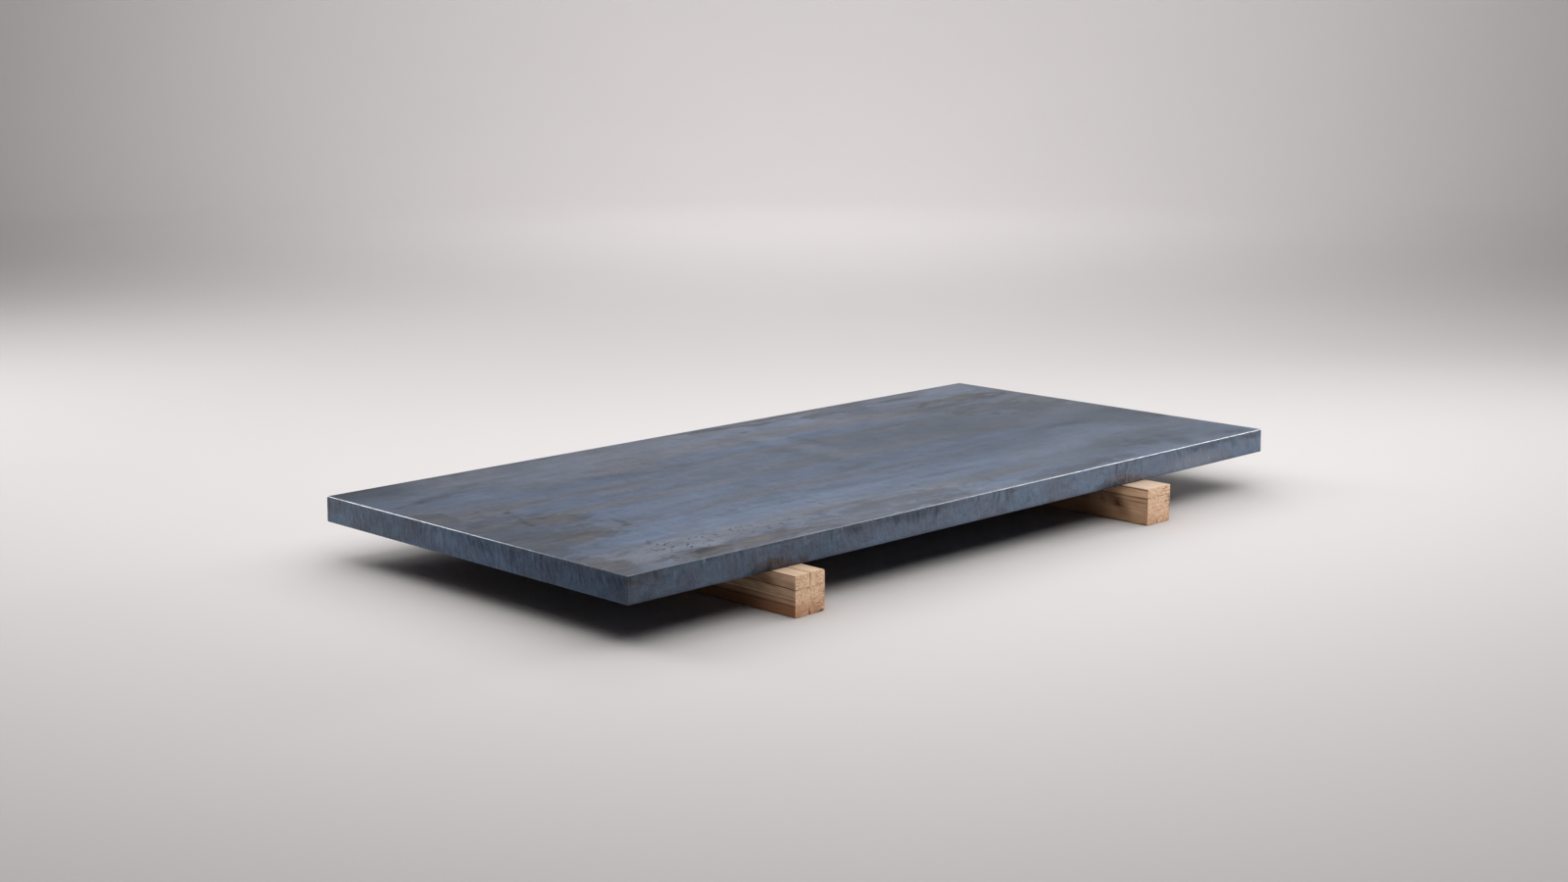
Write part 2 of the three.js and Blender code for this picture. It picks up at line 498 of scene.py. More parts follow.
@dataclass(frozen=True)
class Relief:
    """Shallow unevenness pressed into a surface, never out of it."""

    size: float  # across one hollow, in metres
    depth: float  # the deepest hollow, in metres
    seed: float  # another pattern for another number
    stretch: Triple = (1.0, 1.0, 1.0)  # how many times longer the hollows are along each axis
    lean: Triple = (0.0, 0.0, 0.0)  # degrees that the long hollows lean about each axis

    def press_into(self, piece: Workpiece, group: str) -> None:
        """Presses the relief into a part of a piece.

        Args:
            piece: The piece.
            group: The vertex group that says where, and how deep.
        """
        turned = tuple(math.radians(angle) for angle in self.lean)
        bpy.ops.object.empty_add(location=(self.seed, 2 * self.seed, -self.seed), rotation=turned)
        guide = bpy.context.object
        guide.scale = self.stretch
        bpy.context.view_layer.update()
        pattern = bpy.data.textures.new("relief", "CLOUDS")
        pattern.noise_scale = self.size
        pattern.noise_depth = 2
        piece.apply(
            "DISPLACE",
            texture=pattern,
            texture_coords="OBJECT",
            texture_coords_object=guide,
            vertex_group=group,
            mid_level=1.0,
            strength=self.depth,
        )
        bpy.data.objects.remove(guide)
        bpy.data.textures.remove(pattern)


def ride(piece: Workpiece, node: str) -> None:
    """Hands a finished piece to the frame in place of its plain solid.

    Args:
        piece: The finished piece.
        node: The solid that it stands for.
    """
    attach(piece.shape, "root")
    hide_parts(node)
    LOG.info("%s: %d faces", piece.shape.name, len(piece.shape.data.polygons))


# ---- Steel ----------------------------------------------------------------------------------


class Mark(Enum):
    """How a mark changes the mill scale."""

    # painted shade: SHADE darkens broad areas of the upper face, chiefly its middle and its right end
    SHADE = "a wide area of thicker, duller scale"
    WASH = "a soft, darker area"
    STROKE = "a thin dark stroke"
    RUST = "thin grey-brown rust with a torn outline"
    OCHRE = "a dry, pale patch of rust"
    BLOOM = "paler, bluer scale"
    BLUE = "scale of a deeper blue"
    CRUMBS = "loose flakes of scale"


@dataclass(frozen=True)
class Stain:
    """One mark on the plate's upper face."""

    x: float  # its middle along the plate, in metres
    y: float  # its middle across the plate, in metres
    half_x: float  # half its length
    half_y: float  # half its width
    strength: float  # from 0 up, where 1 is full
    turn: float = 0.0  # degrees that its length is turned towards +Y


STAINS: dict[Mark, tuple[Stain, ...]] = {
    # painted shade, chiefly over the middle and the right end
    Mark.SHADE: (
        Stain(0.60, -0.03, 1.30, 0.36, 1.15), Stain(0.30, 0.08, 0.20, 0.10, 0.5),
        Stain(0.75, -0.42, 0.45, 0.13, 1.0), Stain(1.03, -0.12, 0.28, 0.19, 1.7),
        Stain(-0.68, -0.03, 0.20, 0.12, 0.4), Stain(-1.15, 0.50, 0.16, 0.10, 0.9),
    ),
    Mark.WASH: (
        Stain(-1.12, 0.535, 0.17, 0.085, 1.0), Stain(-0.60, 0.525, 0.09, 0.035, 0.4),
        Stain(-1.02, -0.130, 0.20, 0.040, 0.2), Stain(-1.15, -0.545, 0.10, 0.035, 0.4),
        Stain(-1.16, -0.49, 0.07, 0.09, 0.35), Stain(-0.37, -0.415, 0.12, 0.016, 0.35, 4),
        Stain(0.19, -0.43, 0.14, 0.045, 0.6, 3), Stain(0.46, -0.525, 0.16, 0.045, 0.5),
        Stain(0.90, -0.505, 0.055, 0.065, 1.5), Stain(0.93, -0.43, 0.028, 0.035, 1.1),
        Stain(0.165, 0.19, 0.024, 0.13, 0.7), Stain(0.52, 0.15, 0.50, 0.14, 0.45),
        Stain(0.02, 0.10, 0.04, 0.26, 0.45), Stain(-0.40, 0.22, 0.60, 0.050, 0.3),
        Stain(0.87, -0.122, 0.19, 0.034, 1.5, -2), Stain(1.15, -0.09, 0.09, 0.12, 1.3),
        Stain(1.10, -0.515, 0.085, 0.045, 0.8), Stain(1.10, -0.18, 0.14, 0.20, 0.8),
    ),
    Mark.STROKE: (
        Stain(0.12, 0.535, 0.12, 0.015, 0.7, -9), Stain(0.26, 0.507, 0.11, 0.015, 0.7, 7),
        Stain(0.82, 0.507, 0.14, 0.014, 0.5), Stain(1.04, 0.350, 0.13, 0.008, 0.6, -4),
        Stain(-1.08, 0.335, 0.11, 0.007, 0.5, 4), Stain(-1.07, 0.155, 0.07, 0.006, 0.4, 6),
        Stain(-1.00, 0.104, 0.014, 0.010, 0.7), Stain(-1.07, 0.100, 0.010, 0.010, 0.5),
        Stain(-1.02, 0.025, 0.007, 0.055, 0.6, -18), Stain(-1.04, -0.03, 0.010, 0.045, 0.6, -6),
        Stain(-0.985, 0.000, 0.03, 0.010, 0.5), Stain(-0.91, -0.010, 0.012, 0.022, 0.4),
        Stain(-0.865, -0.160, 0.012, 0.045, 0.5, -14), Stain(-0.880, -0.198, 0.026, 0.010, 0.8),
        Stain(-1.07, -0.41, 0.040, 0.010, 0.5, 20), Stain(-0.96, -0.37, 0.030, 0.008, 0.6, 55),
        Stain(-0.925, -0.512, 0.045, 0.024, 0.8), Stain(-0.84, -0.505, 0.035, 0.018, 0.5),
        Stain(-0.70, -0.272, 0.15, 0.006, 0.4, 2), Stain(-0.60, -0.262, 0.05, 0.006, 0.4, 14),
        Stain(-0.565, -0.285, 0.03, 0.006, 0.3), Stain(-0.445, -0.292, 0.035, 0.006, 0.5, -8),
        Stain(-0.400, -0.325, 0.030, 0.007, 0.5, -55), Stain(-0.386, -0.370, 0.006, 0.025, 0.5),
        Stain(-0.074, -0.38, 0.009, 0.016, 0.6, -15), Stain(0.84, -0.325, 0.05, 0.010, 0.4, 15),
        Stain(0.856, 0.136, 0.022, 0.018, 0.8),
    ),
    Mark.RUST: (
        Stain(-1.10, 0.560, 0.10, 0.016, 0.5), Stain(-0.72, 0.568, 0.30, 0.012, 0.4),
        Stain(0.57, 0.505, 0.15, 0.040, 0.8, 8), Stain(0.40, 0.555, 0.40, 0.016, 0.5),
        Stain(0.82, 0.385, 0.060, 0.013, 0.7, 25), Stain(1.03, 0.380, 0.12, 0.038, 0.8, -9),
        Stain(0.128, 0.447, 0.02, 0.015, 0.6), Stain(-1.05, 0.352, 0.10, 0.012, 0.8, 9),
        Stain(-1.17, 0.13, 0.05, 0.12, 0.5), Stain(-1.10, -0.08, 0.20, 0.22, 0.30),
        Stain(-0.97, -0.045, 0.090, 0.055, 0.9), Stain(-1.02, -0.225, 0.095, 0.045, 0.72),
        Stain(-1.17, -0.20, 0.06, 0.18, 0.35), Stain(-1.18, -0.46, 0.050, 0.11, 0.7),
        Stain(-0.90, -0.530, 0.13, 0.040, 1.0), Stain(-0.70, -0.530, 0.25, 0.042, 0.8),
        Stain(-0.40, -0.540, 0.30, 0.035, 0.5), Stain(-0.25, -0.48, 0.36, 0.055, 0.25),
        Stain(0.40, -0.535, 0.25, 0.035, 0.45), Stain(0.80, -0.440, 0.055, 0.045, 0.7),
        Stain(0.92, 0.225, 0.16, 0.060, 0.6), Stain(1.17, -0.215, 0.040, 0.055, 0.9),
        Stain(1.13, -0.530, 0.050, 0.025, 0.4), Stain(1.05, 0.13, 0.15, 0.06, 0.4),
    ),
    Mark.OCHRE: (
        Stain(0.88, 0.205, 0.05, 0.022, 0.6), Stain(1.17, -0.205, 0.020, 0.018, 0.7),
        Stain(0.60, 0.510, 0.06, 0.014, 0.6, 8), Stain(1.00, 0.392, 0.06, 0.016, 0.7),
        Stain(-1.03, -0.235, 0.045, 0.024, 0.55), Stain(-0.97, -0.055, 0.060, 0.026, 0.5),
        Stain(-1.06, -0.045, 0.030, 0.020, 0.4), Stain(-0.755, -0.520, 0.040, 0.018, 0.9),
        Stain(-0.86, -0.545, 0.060, 0.012, 0.6), Stain(-1.16, -0.52, 0.020, 0.030, 0.3),
    ),
    Mark.BLOOM: (
        Stain(0.40, 0.530, 0.08, 0.018, 0.8, 12), Stain(0.96, 0.435, 0.07, 0.030, 0.9),
        Stain(-1.12, 0.44, 0.12, 0.030, 0.5), Stain(-1.06, -0.46, 0.09, 0.07, 0.8),
        Stain(-0.80, -0.40, 0.36, 0.06, 0.6), Stain(0.096, 0.17, 0.045, 0.26, 0.9),
        Stain(-0.62, -0.375, 0.50, 0.035, 0.5), Stain(-0.10, -0.32, 1.05, 0.10, 0.4),
        Stain(0.15, -0.38, 0.28, 0.09, 0.4), Stain(-0.60, 0.45, 0.46, 0.12, 1.25),
        Stain(-0.85, 0.27, 0.30, 0.08, 0.4), Stain(-0.25, -0.50, 0.45, 0.07, 0.5),
        Stain(1.09, 0.50, 0.14, 0.08, 1.6), Stain(-0.15, 0.50, 0.60, 0.08, 0.8),
        Stain(-0.70, 0.36, 0.16, 0.16, 1.15), Stain(-0.90, -0.46, 0.14, 0.07, 0.8),
        Stain(0.85, 0.46, 0.30, 0.07, 0.35),
    ),
    Mark.BLUE: (
        Stain(-0.35, -0.24, 0.75, 0.19, 0.75), Stain(0.60, -0.30, 0.65, 0.14, 0.9),
        Stain(-1.12, 0.44, 0.14, 0.08, 1.0), Stain(-0.75, 0.24, 0.28, 0.05, 0.8),
        Stain(1.02, 0.02, 0.20, 0.07, 0.3), Stain(0.96, 0.30, 0.22, 0.05, 0.4),
        Stain(0.05, 0.28, 0.45, 0.07, 0.8), Stain(0.90, -0.46, 0.50, 0.16, 1.5),
        Stain(0.60, -0.25, 0.75, 0.17, 1.2), Stain(1.00, -0.10, 0.28, 0.10, 1.0),
        Stain(-0.20, 0.08, 0.42, 0.10, 0.60), Stain(-1.00, 0.27, 0.20, 0.07, 0.6),
        Stain(-0.80, 0.09, 0.16, 0.08, 0.6), Stain(1.12, 0.47, 0.12, 0.06, 0.6),
        Stain(1.13, -0.38, 0.09, 0.12, 0.7),
    ),
    Mark.CRUMBS: (
        Stain(-0.94, -0.435, 0.10, 0.060, 1.0), Stain(-0.76, -0.430, 0.19, 0.045, 0.8),
        Stain(-1.00, -0.520, 0.03, 0.030, 0.8),
    ),
}


@dataclass(frozen=True)
class MillScale:
    """Blue-grey oxide left by hot rolling, with streaks along the plate and thin rust."""

    slate: Colour = (0.100, 0.102, 0.121)  # the scale's usual colour
    steel_blue: Colour = (0.075, 0.103, 0.162)  # its bluer streaks
    soot: Colour = (0.038, 0.046, 0.061)  # where it is thick and dark; also the colour of the SHADE marks' painted shade
    taupe: Colour = (0.084, 0.077, 0.081)  # a faint brown cast
    umber: Colour = (0.066, 0.060, 0.062)  # thin rust
    ochre: Colour = (0.144, 0.134, 0.127)  # dry, pale rust
    pale: Colour = (0.120, 0.140, 0.180)  # where it is thin and bluish
    crumb: Colour = (0.046, 0.040, 0.044)  # flakes that lie loose
    char: Colour = (0.018, 0.020, 0.025)  # thin dark strokes
    grazing: Colour = (0.68, 0.70, 0.72)  # tint of what it reflects at a low angle
    rough: float = 0.46  # its usual roughness
    relief: float = 0.0004  # the depth of its grain, in metres

    def gather(
        self,
        tree: ShaderTree,
        at: Wire,
        stains: Sequence[Stain],
        ragged: Wire,
        feather: tuple[float, float],
    ) -> Wire | None:
        """How strongly one kind of mark lies on each place.

        Args:
            tree: The material.
            at: The coordinates, warped so that the marks have no clean outline.
            stains: The marks.
            ragged: What is added to the distance from each mark's middle.
            feather: Where a mark ends and where it is full, as shares of its half size.

        Returns:
            From 0 up, where 1 is full, or nothing where there are no marks.
        """
        covers = []
        for stain in stains:
            half = (stain.half_x, stain.half_y, ENDLESS)
            near = tree.about(at, (stain.x, stain.y, 0.0), half, (0, 0, stain.turn))
            covers.append((tree.length(near) + ragged).rise(*feather) * stain.strength)
        return strongest(covers)

    def make(self, name: str, stains: dict[Mark, tuple[Stain, ...]]) -> bpy.types.Material:
        """The finish.

        Args:
            name: The material's name.
            stains: The marks that lie on it.

        Returns:
            The material.
        """
        tree = ShaderTree(name)
        bent = tree.warped(tree.place, (2.2, 4.5, 3.0), 0.035, 3.1)
        edge = tree.warped(tree.place, (8.0, 14.0, 9.0), 0.030, 6.3)
        long_streak = tree.noise(bent, (0.8, 9.0, 4.0), 1.7, detail=4.0, rough=0.5)
        fine_streak = tree.noise(bent, (4.0, 30.0, 9.0), 5.2, detail=4.0, rough=0.65)
        cloud = tree.noise(bent, (2.0, 5.5, 3.0), 9.4, detail=5.0, rough=0.6, warp=0.4)
        drift = tree.noise(bent, (4.5, 15.0, 9.0), 12.3, detail=4.0, rough=0.55, warp=0.9)
        scuffed = tree.noise(edge, (58.0, 20.0, 30.0), 2.6, detail=4.0, rough=0.62, warp=1.1)
        grain = tree.noise(tree.place, (120.0, 300.0, 200.0), 7.7, detail=3.0, rough=0.65)
        mottle = tree.noise(tree.place, (14.0, 30.0, 30.0), 4.4, detail=6.0, rough=0.62, warp=0.7)
        soft = (cloud - 0.5) * 1.6

        hue = long_streak * 0.88 + drift * 0.12
        if stains:
            hue = hue + self.gather(tree, edge, stains[Mark.BLUE], soft, (1.7, 0.1)) * 0.26
        vein = (mottle - 0.53).size().rise(0.010, 0.0) * drift.rise(0.46, 0.60)
        colour = tree.layered(
            self.slate,
            (hue.rise(0.43, 0.67), self.steel_blue),
            (cloud.rise(0.50, 0.72) * 0.62, self.soot),
            (cloud.rise(0.47, 0.28) * 0.36, self.pale),
            (drift.rise(0.42, 0.28) * 0.20, self.taupe),
            (mottle.rise(0.54, 0.70) * 0.16, self.taupe),
            (mottle.rise(0.46, 0.32) * 0.18, self.pale),
            (vein * 0.35, self.soot),
        )
        rough = self.rough + (cloud - 0.5) * 0.12 + (fine_streak - 0.5) * 0.10
        height = grain * 0.35 + mottle * 0.45 + fine_streak * 0.20

        if stains:
            finer = tree.warped(tree.place, (14.0, 26.0, 9.0), 0.012, 2.9)
            torn = (mottle - 0.5) * 2.6
            bloom, shade, wash, rust, ochre, stroke, crumbs = (
                self.gather(tree, at, stains[mark], ragged, feather)
                for mark, at, ragged, feather in (
                    (Mark.BLOOM, edge, soft, (1.5, 0.1)),
                    (Mark.SHADE, edge, soft * 0.5, (1.5, 0.1)),
                    (Mark.WASH, edge, soft, (1.5, 0.1)),
                    (Mark.RUST, edge, torn, (1.35, 0.3)),
                    (Mark.OCHRE, edge, torn, (1.5, 0.2)),
                    (Mark.STROKE, finer, torn * 0.5, (1.3, 0.4)),
                    (Mark.CRUMBS, edge, soft, (1.3, 0.6)),
                )
            )
            slanting = tree.about(tree.place, (0.0, 0.0, 0.0), (1.0, 1.0, 1.0), (0, 0, 38))
            specks = tree.noise(slanting, (48.0, 105.0, 60.0), 8.8, detail=2.0, warp=0.5)
            lying = (specks + crumbs * 0.04).rise(0.645, 0.70) * crumbs
            blotch = mottle.rise(0.56, 0.40)
            tide = rust.rise(0.06, 0.22) * rust.rise(0.55, 0.28)
            colour = tree.layered(
                colour,
                (bloom * 0.60, self.pale),
                # the painted shade of the SHADE marks
                (shade * 0.46, self.soot),
                (wash * 0.55, self.soot),
                (rust * (0.68 + blotch * 0.32), self.umber),
                (ochre * (0.30 + blotch * 0.45), self.ochre),
                (stroke * (0.75 + blotch * 0.25), self.char),
                (tide * 0.38, self.soot),
                (lying * 0.85, self.crumb),
            )
            rough = rough + rust * 0.10 + wash * 0.03 - bloom * 0.03 + lying * 0.15
            height = height + lying * 0.8 + rust * 0.2

        tone = fine_streak * 1.20 + mottle * 0.95 + scuffed * 0.62 + grain * 0.42
        colour = tree.shaded(colour, tone + long_streak * 0.24 - 0.70)
        constants = {"Metallic": 1.0, "Specular_Tint": self.grazing}
        return tree.finish(colour, rough, height, self.relief, **constants)


class SmudgeColour(Enum):
    """What a smudge turns the plate's sides to."""

    # a tannin stain colour, and also the painted reflection of the bearers on the steel just above
    # them
    TANNIN = (0.075, 0.052, 0.042)
    DULL_BROWN = (0.078, 0.070, 0.068)
    # lamp black, and also the painted contact shadow of the bearers on the steel just above them
    LAMP_BLACK = (0.030, 0.036, 0.048)
    SOOT = (0.032, 0.038, 0.047)
    PALE_BLUE = (0.140, 0.185, 0.250)
    PALE_GREY = (0.175, 0.185, 0.210)


@dataclass(frozen=True)
class Smudge:
    """One mark on the plate's sides."""

    at: Triple  # its middle
    half: Triple  # half its size along each axis
    turns_to: SmudgeColour  # what it turns the steel to
    strength: float  # from 0 to 1
    lean: float = 0.0  # degrees that it is turned about Y


SMUDGES = (
    # The first four smudges, on the front side just above the two bearers, are painted light: the
    # brown ones a painted reflection of the timber, the black ones its painted contact shadow.
    Smudge((-0.730, -0.575, 0.109), (0.100, 0.05, 0.015), SmudgeColour.TANNIN, 0.85, 6),
    Smudge((-0.790, -0.575, 0.104), (0.050, 0.05, 0.008), SmudgeColour.LAMP_BLACK, 0.80),
    Smudge((0.590, -0.575, 0.108), (0.090, 0.05, 0.013), SmudgeColour.TANNIN, 0.95, 6),
    Smudge((0.515, -0.575, 0.106), (0.060, 0.05, 0.012), SmudgeColour.LAMP_BLACK, 0.85),
    Smudge((-0.620, -0.575, 0.120), (0.120, 0.05, 0.030), SmudgeColour.LAMP_BLACK, 0.35),
    Smudge((0.120, -0.575, 0.125), (0.200, 0.05, 0.022), SmudgeColour.LAMP_BLACK, 0.22),
    Smudge((0.880, -0.575, 0.118), (0.140, 0.05, 0.024), SmudgeColour.PALE_GREY, 0.50),
    Smudge((-1.180, -0.575, 0.147), (0.020, 0.02, 0.010), SmudgeColour.DULL_BROWN, 0.90),
    Smudge((-1.182, -0.575, 0.134), (0.016, 0.02, 0.003), SmudgeColour.TANNIN, 0.60),
    Smudge((-1.150, -0.575, 0.150), (0.060, 0.02, 0.012), SmudgeColour.DULL_BROWN, 0.45),
    Smudge((-1.200, 0.100, 0.138), (0.05, 0.028, 0.020), SmudgeColour.PALE_BLUE, 0.55),
    Smudge((-1.200, 0.060, 0.125), (0.05, 0.070, 0.030), SmudgeColour.PALE_BLUE, 0.25),
    Smudge((-1.200, -0.535, 0.148), (0.05, 0.035, 0.014), SmudgeColour.LAMP_BLACK, 0.60),
    Smudge((-1.200, -0.050, 0.145), (0.05, 0.030, 0.016), SmudgeColour.LAMP_BLACK, 0.30),
    *(
        Smudge((x, -0.575, z), (half_x, 0.02, half_z), SmudgeColour.SOOT, strength)
        for x, z, half_x, half_z, strength in (
            (-0.490, 0.150, 0.035, 0.011, 0.65),
            (-0.340, 0.148, 0.018, 0.014, 0.80),
            (-0.275, 0.148, 0.045, 0.016, 0.75),
            (-0.205, 0.150, 0.020, 0.012, 0.70),
            (0.095, 0.154, 0.030, 0.006, 0.50),
            (0.875, 0.148, 0.022, 0.010, 0.75),
            (0.955, 0.150, 0.035, 0.012, 0.55),
            (1.065, 0.143, 0.015, 0.012, 0.60),
            (1.150, 0.152, 0.050, 0.008, 0.50),
            (-0.330, 0.155, 0.250, 0.008, 0.40),
            (1.000, 0.156, 0.200, 0.007, 0.40),
        )
    ),
)


@dataclass(frozen=True)
class FlameCut:
    """The plate's sides, as the cutting torch left them: blue-grey with slanting drag lines."""

    low: Vector  # the plate's lowest corner; the sides are painted darker towards it, as painted shade
    high: Vector  # the plate's highest corner
    slate: Colour = (0.090, 0.107, 0.146)  # the usual colour
    steel_blue: Colour = (0.094, 0.132, 0.186)  # paler blue areas
    teal: Colour = (0.050, 0.068, 0.088)  # darker areas
    soot: Colour = (0.026, 0.031, 0.040)  # the dark strokes
    bright: Colour = (0.165, 0.198, 0.250)  # the ridges between the drag lines
    rough: float = 0.42  # the usual roughness
    relief: float = 0.0008  # the depth of the drag lines, in metres
    calm: float = 0.70  # how much fainter the drag lines are on the long sides, from 0 to 1
    cool: Colour = (0.91, 0.985, 1.085)  # what tints the short sides near the plate's front
    plain: Colour = (1.00, 1.00, 0.98)  # what tints them further back
    warm: Colour = (1.025, 0.99, 0.975)  # what tints the long sides

    def make(self, name: str, smudges: Sequence[Smudge]) -> bpy.types.Material:
        """The finish.

        Args:
            name: The material's name.
            smudges: The marks that lie on it.

        Returns:
            The material.
        """
        tree = ShaderTree(name)
        along, across, height_at = tree.split(tree.place)
        up = height_at.share(self.low.z, self.high.z)
        on_long = across.size().rise(self.high.y - 0.02, self.high.y - 0.005)
        from_corner = (along - self.low.x) + (across - self.low.y) * 1.9
        # painted shade: the sides' colour darkens towards the plate's front corner
        painted_corner_shade = (0.64 + on_long * 0.05 + from_corner * 0.36).smaller(1.45 - on_long * 0.25)
        sway = tree.noise(tree.place, 7.0, 1.1, detail=3.0)
        lean = 0.12 + from_corner.rise(1.6, 0.1) * 0.30 + (sway - 0.5) * 1.6
        run = along - across + (height_at - self.low.z) * lean
        lines = tree.join(run, height_at, 0.0)
        cloud = tree.noise(tree.place, (9.0, 9.0, 16.0), 2.9, detail=5.0, rough=0.62, warp=0.8)
        mottle = tree.noise(tree.place, (24.0, 24.0, 34.0), 7.2, detail=5.0, rough=0.6, warp=0.9)
        zone = tree.noise(tree.place, (5.0, 5.0, 2.0), 8.3, detail=2.0)
        stroke = tree.noise(lines, (95.0, 14.0, 1.0), 4.7, detail=4.0, rough=0.6, warp=0.4)
        fine = tree.noise(lines, (150.0, 18.0, 1.0), 6.1, detail=4.0, rough=0.7, warp=0.3)
        dust = tree.noise(tree.place, 160.0, 3.3, detail=4.0, rough=0.7)
        drawn = 1 - on_long * self.calm

        drip = up.rise(0.25, 0.70) * zone.rise(0.44, 0.58)
        torn = stroke.rise(0.50, 0.70) * (0.30 * drawn + drip * 0.70)
        coats = [
            (cloud.rise(0.38, 0.64), self.steel_blue),
            (mottle.rise(0.50, 0.30) * 0.50, self.teal),
            (mottle.rise(0.54, 0.74) * 0.30, self.bright),
            (torn * 0.70, self.soot),
            (fine.rise(0.54, 0.72) * 0.30 * drawn, self.bright),
        ]
        ragged = (mottle - 0.5) * 1.8
        streaked = 0.55 + stroke.rise(0.42, 0.58) * 0.45
        for smudge in smudges:
            near = tree.about(tree.place, smudge.at, smudge.half, (0, smudge.lean, 0))
            cover = (tree.length(near) + ragged).rise(1.5, 0.2) * smudge.strength
            coats.append((cover * streaked, smudge.turns_to.value))
        colour = tree.layered(self.slate, *coats)
        tone = 0.54 + (fine - 0.5) * 1.5 * drawn + dust * 0.86
        tint = tree.layered(self.cool, (from_corner.rise(0.9, 2.0), self.plain), (on_long, self.warm))
        colour = tree.vector("MULTIPLY", tree.shaded(colour, tone * painted_corner_shade), tint)
        rough = self.rough + (dust - 0.5) * 0.2
        return tree.finish(colour, rough, fine * 0.5 + stroke * 0.5, self.relief, Metallic=1.0)


@dataclass(frozen=True)
class ArrisWithPaintedHighlight:
    """The plate's upper edges, worn to bare steel by handling, with a painted highlight that fades
    out towards one corner.
    """

    fade_x: float  # the plate's corner, along X, where the painted highlight fades out
    fade_y: float  # the same corner, along Y
    bare: Colour = (0.66, 0.69, 0.73)  # bare steel, which carries the painted highlight
    scaled: Colour = (0.060, 0.070, 0.088)  # where the scale still covers the edge and the painted highlight has faded out
    fade_reach: float = 0.12  # how far from that corner the painted highlight stays off
    bright_reach: float = 2.2  # where it is fully bright
    hasten: float = 2.7  # how many times sooner that is along the short side

    def make(self, name: str) -> bpy.types.Material:
        """The finish.

        Args:
            name: The material's name.

        Returns:
            The material.
        """
        tree = ShaderTree(name)
        scale = (1.0, self.hasten, 0.0)
        corner = tree.moved(tree.place, scale, (-self.fade_x, -self.fade_y * self.hasten, 0.0))
        # painted highlight: the edge turns from dark to bright bare steel with distance from that
        # corner
        far = tree.length(corner).rise(self.fade_reach, self.bright_reach)
        knocks = tree.noise(tree.place, 60.0, 1.9, detail=5.0, rough=0.7)
        highlight_and_wear = (0.06 + far * 0.94) * (0.55 + knocks.rise(0.36, 0.56) * 0.45)
        colour = tree.blend(highlight_and_wear, self.scaled, self.bare)
        return tree.finish(colour, 0.5 - highlight_and_wear * 0.15, knocks, 0.0003, Metallic=0.85)


@dataclass(frozen=True)
class Nick:
    """A gouge in the upper edge of the plate's front side."""

    x: float  # where it is along the plate
    reach: float  # half its length
    depth: float  # how deep it is


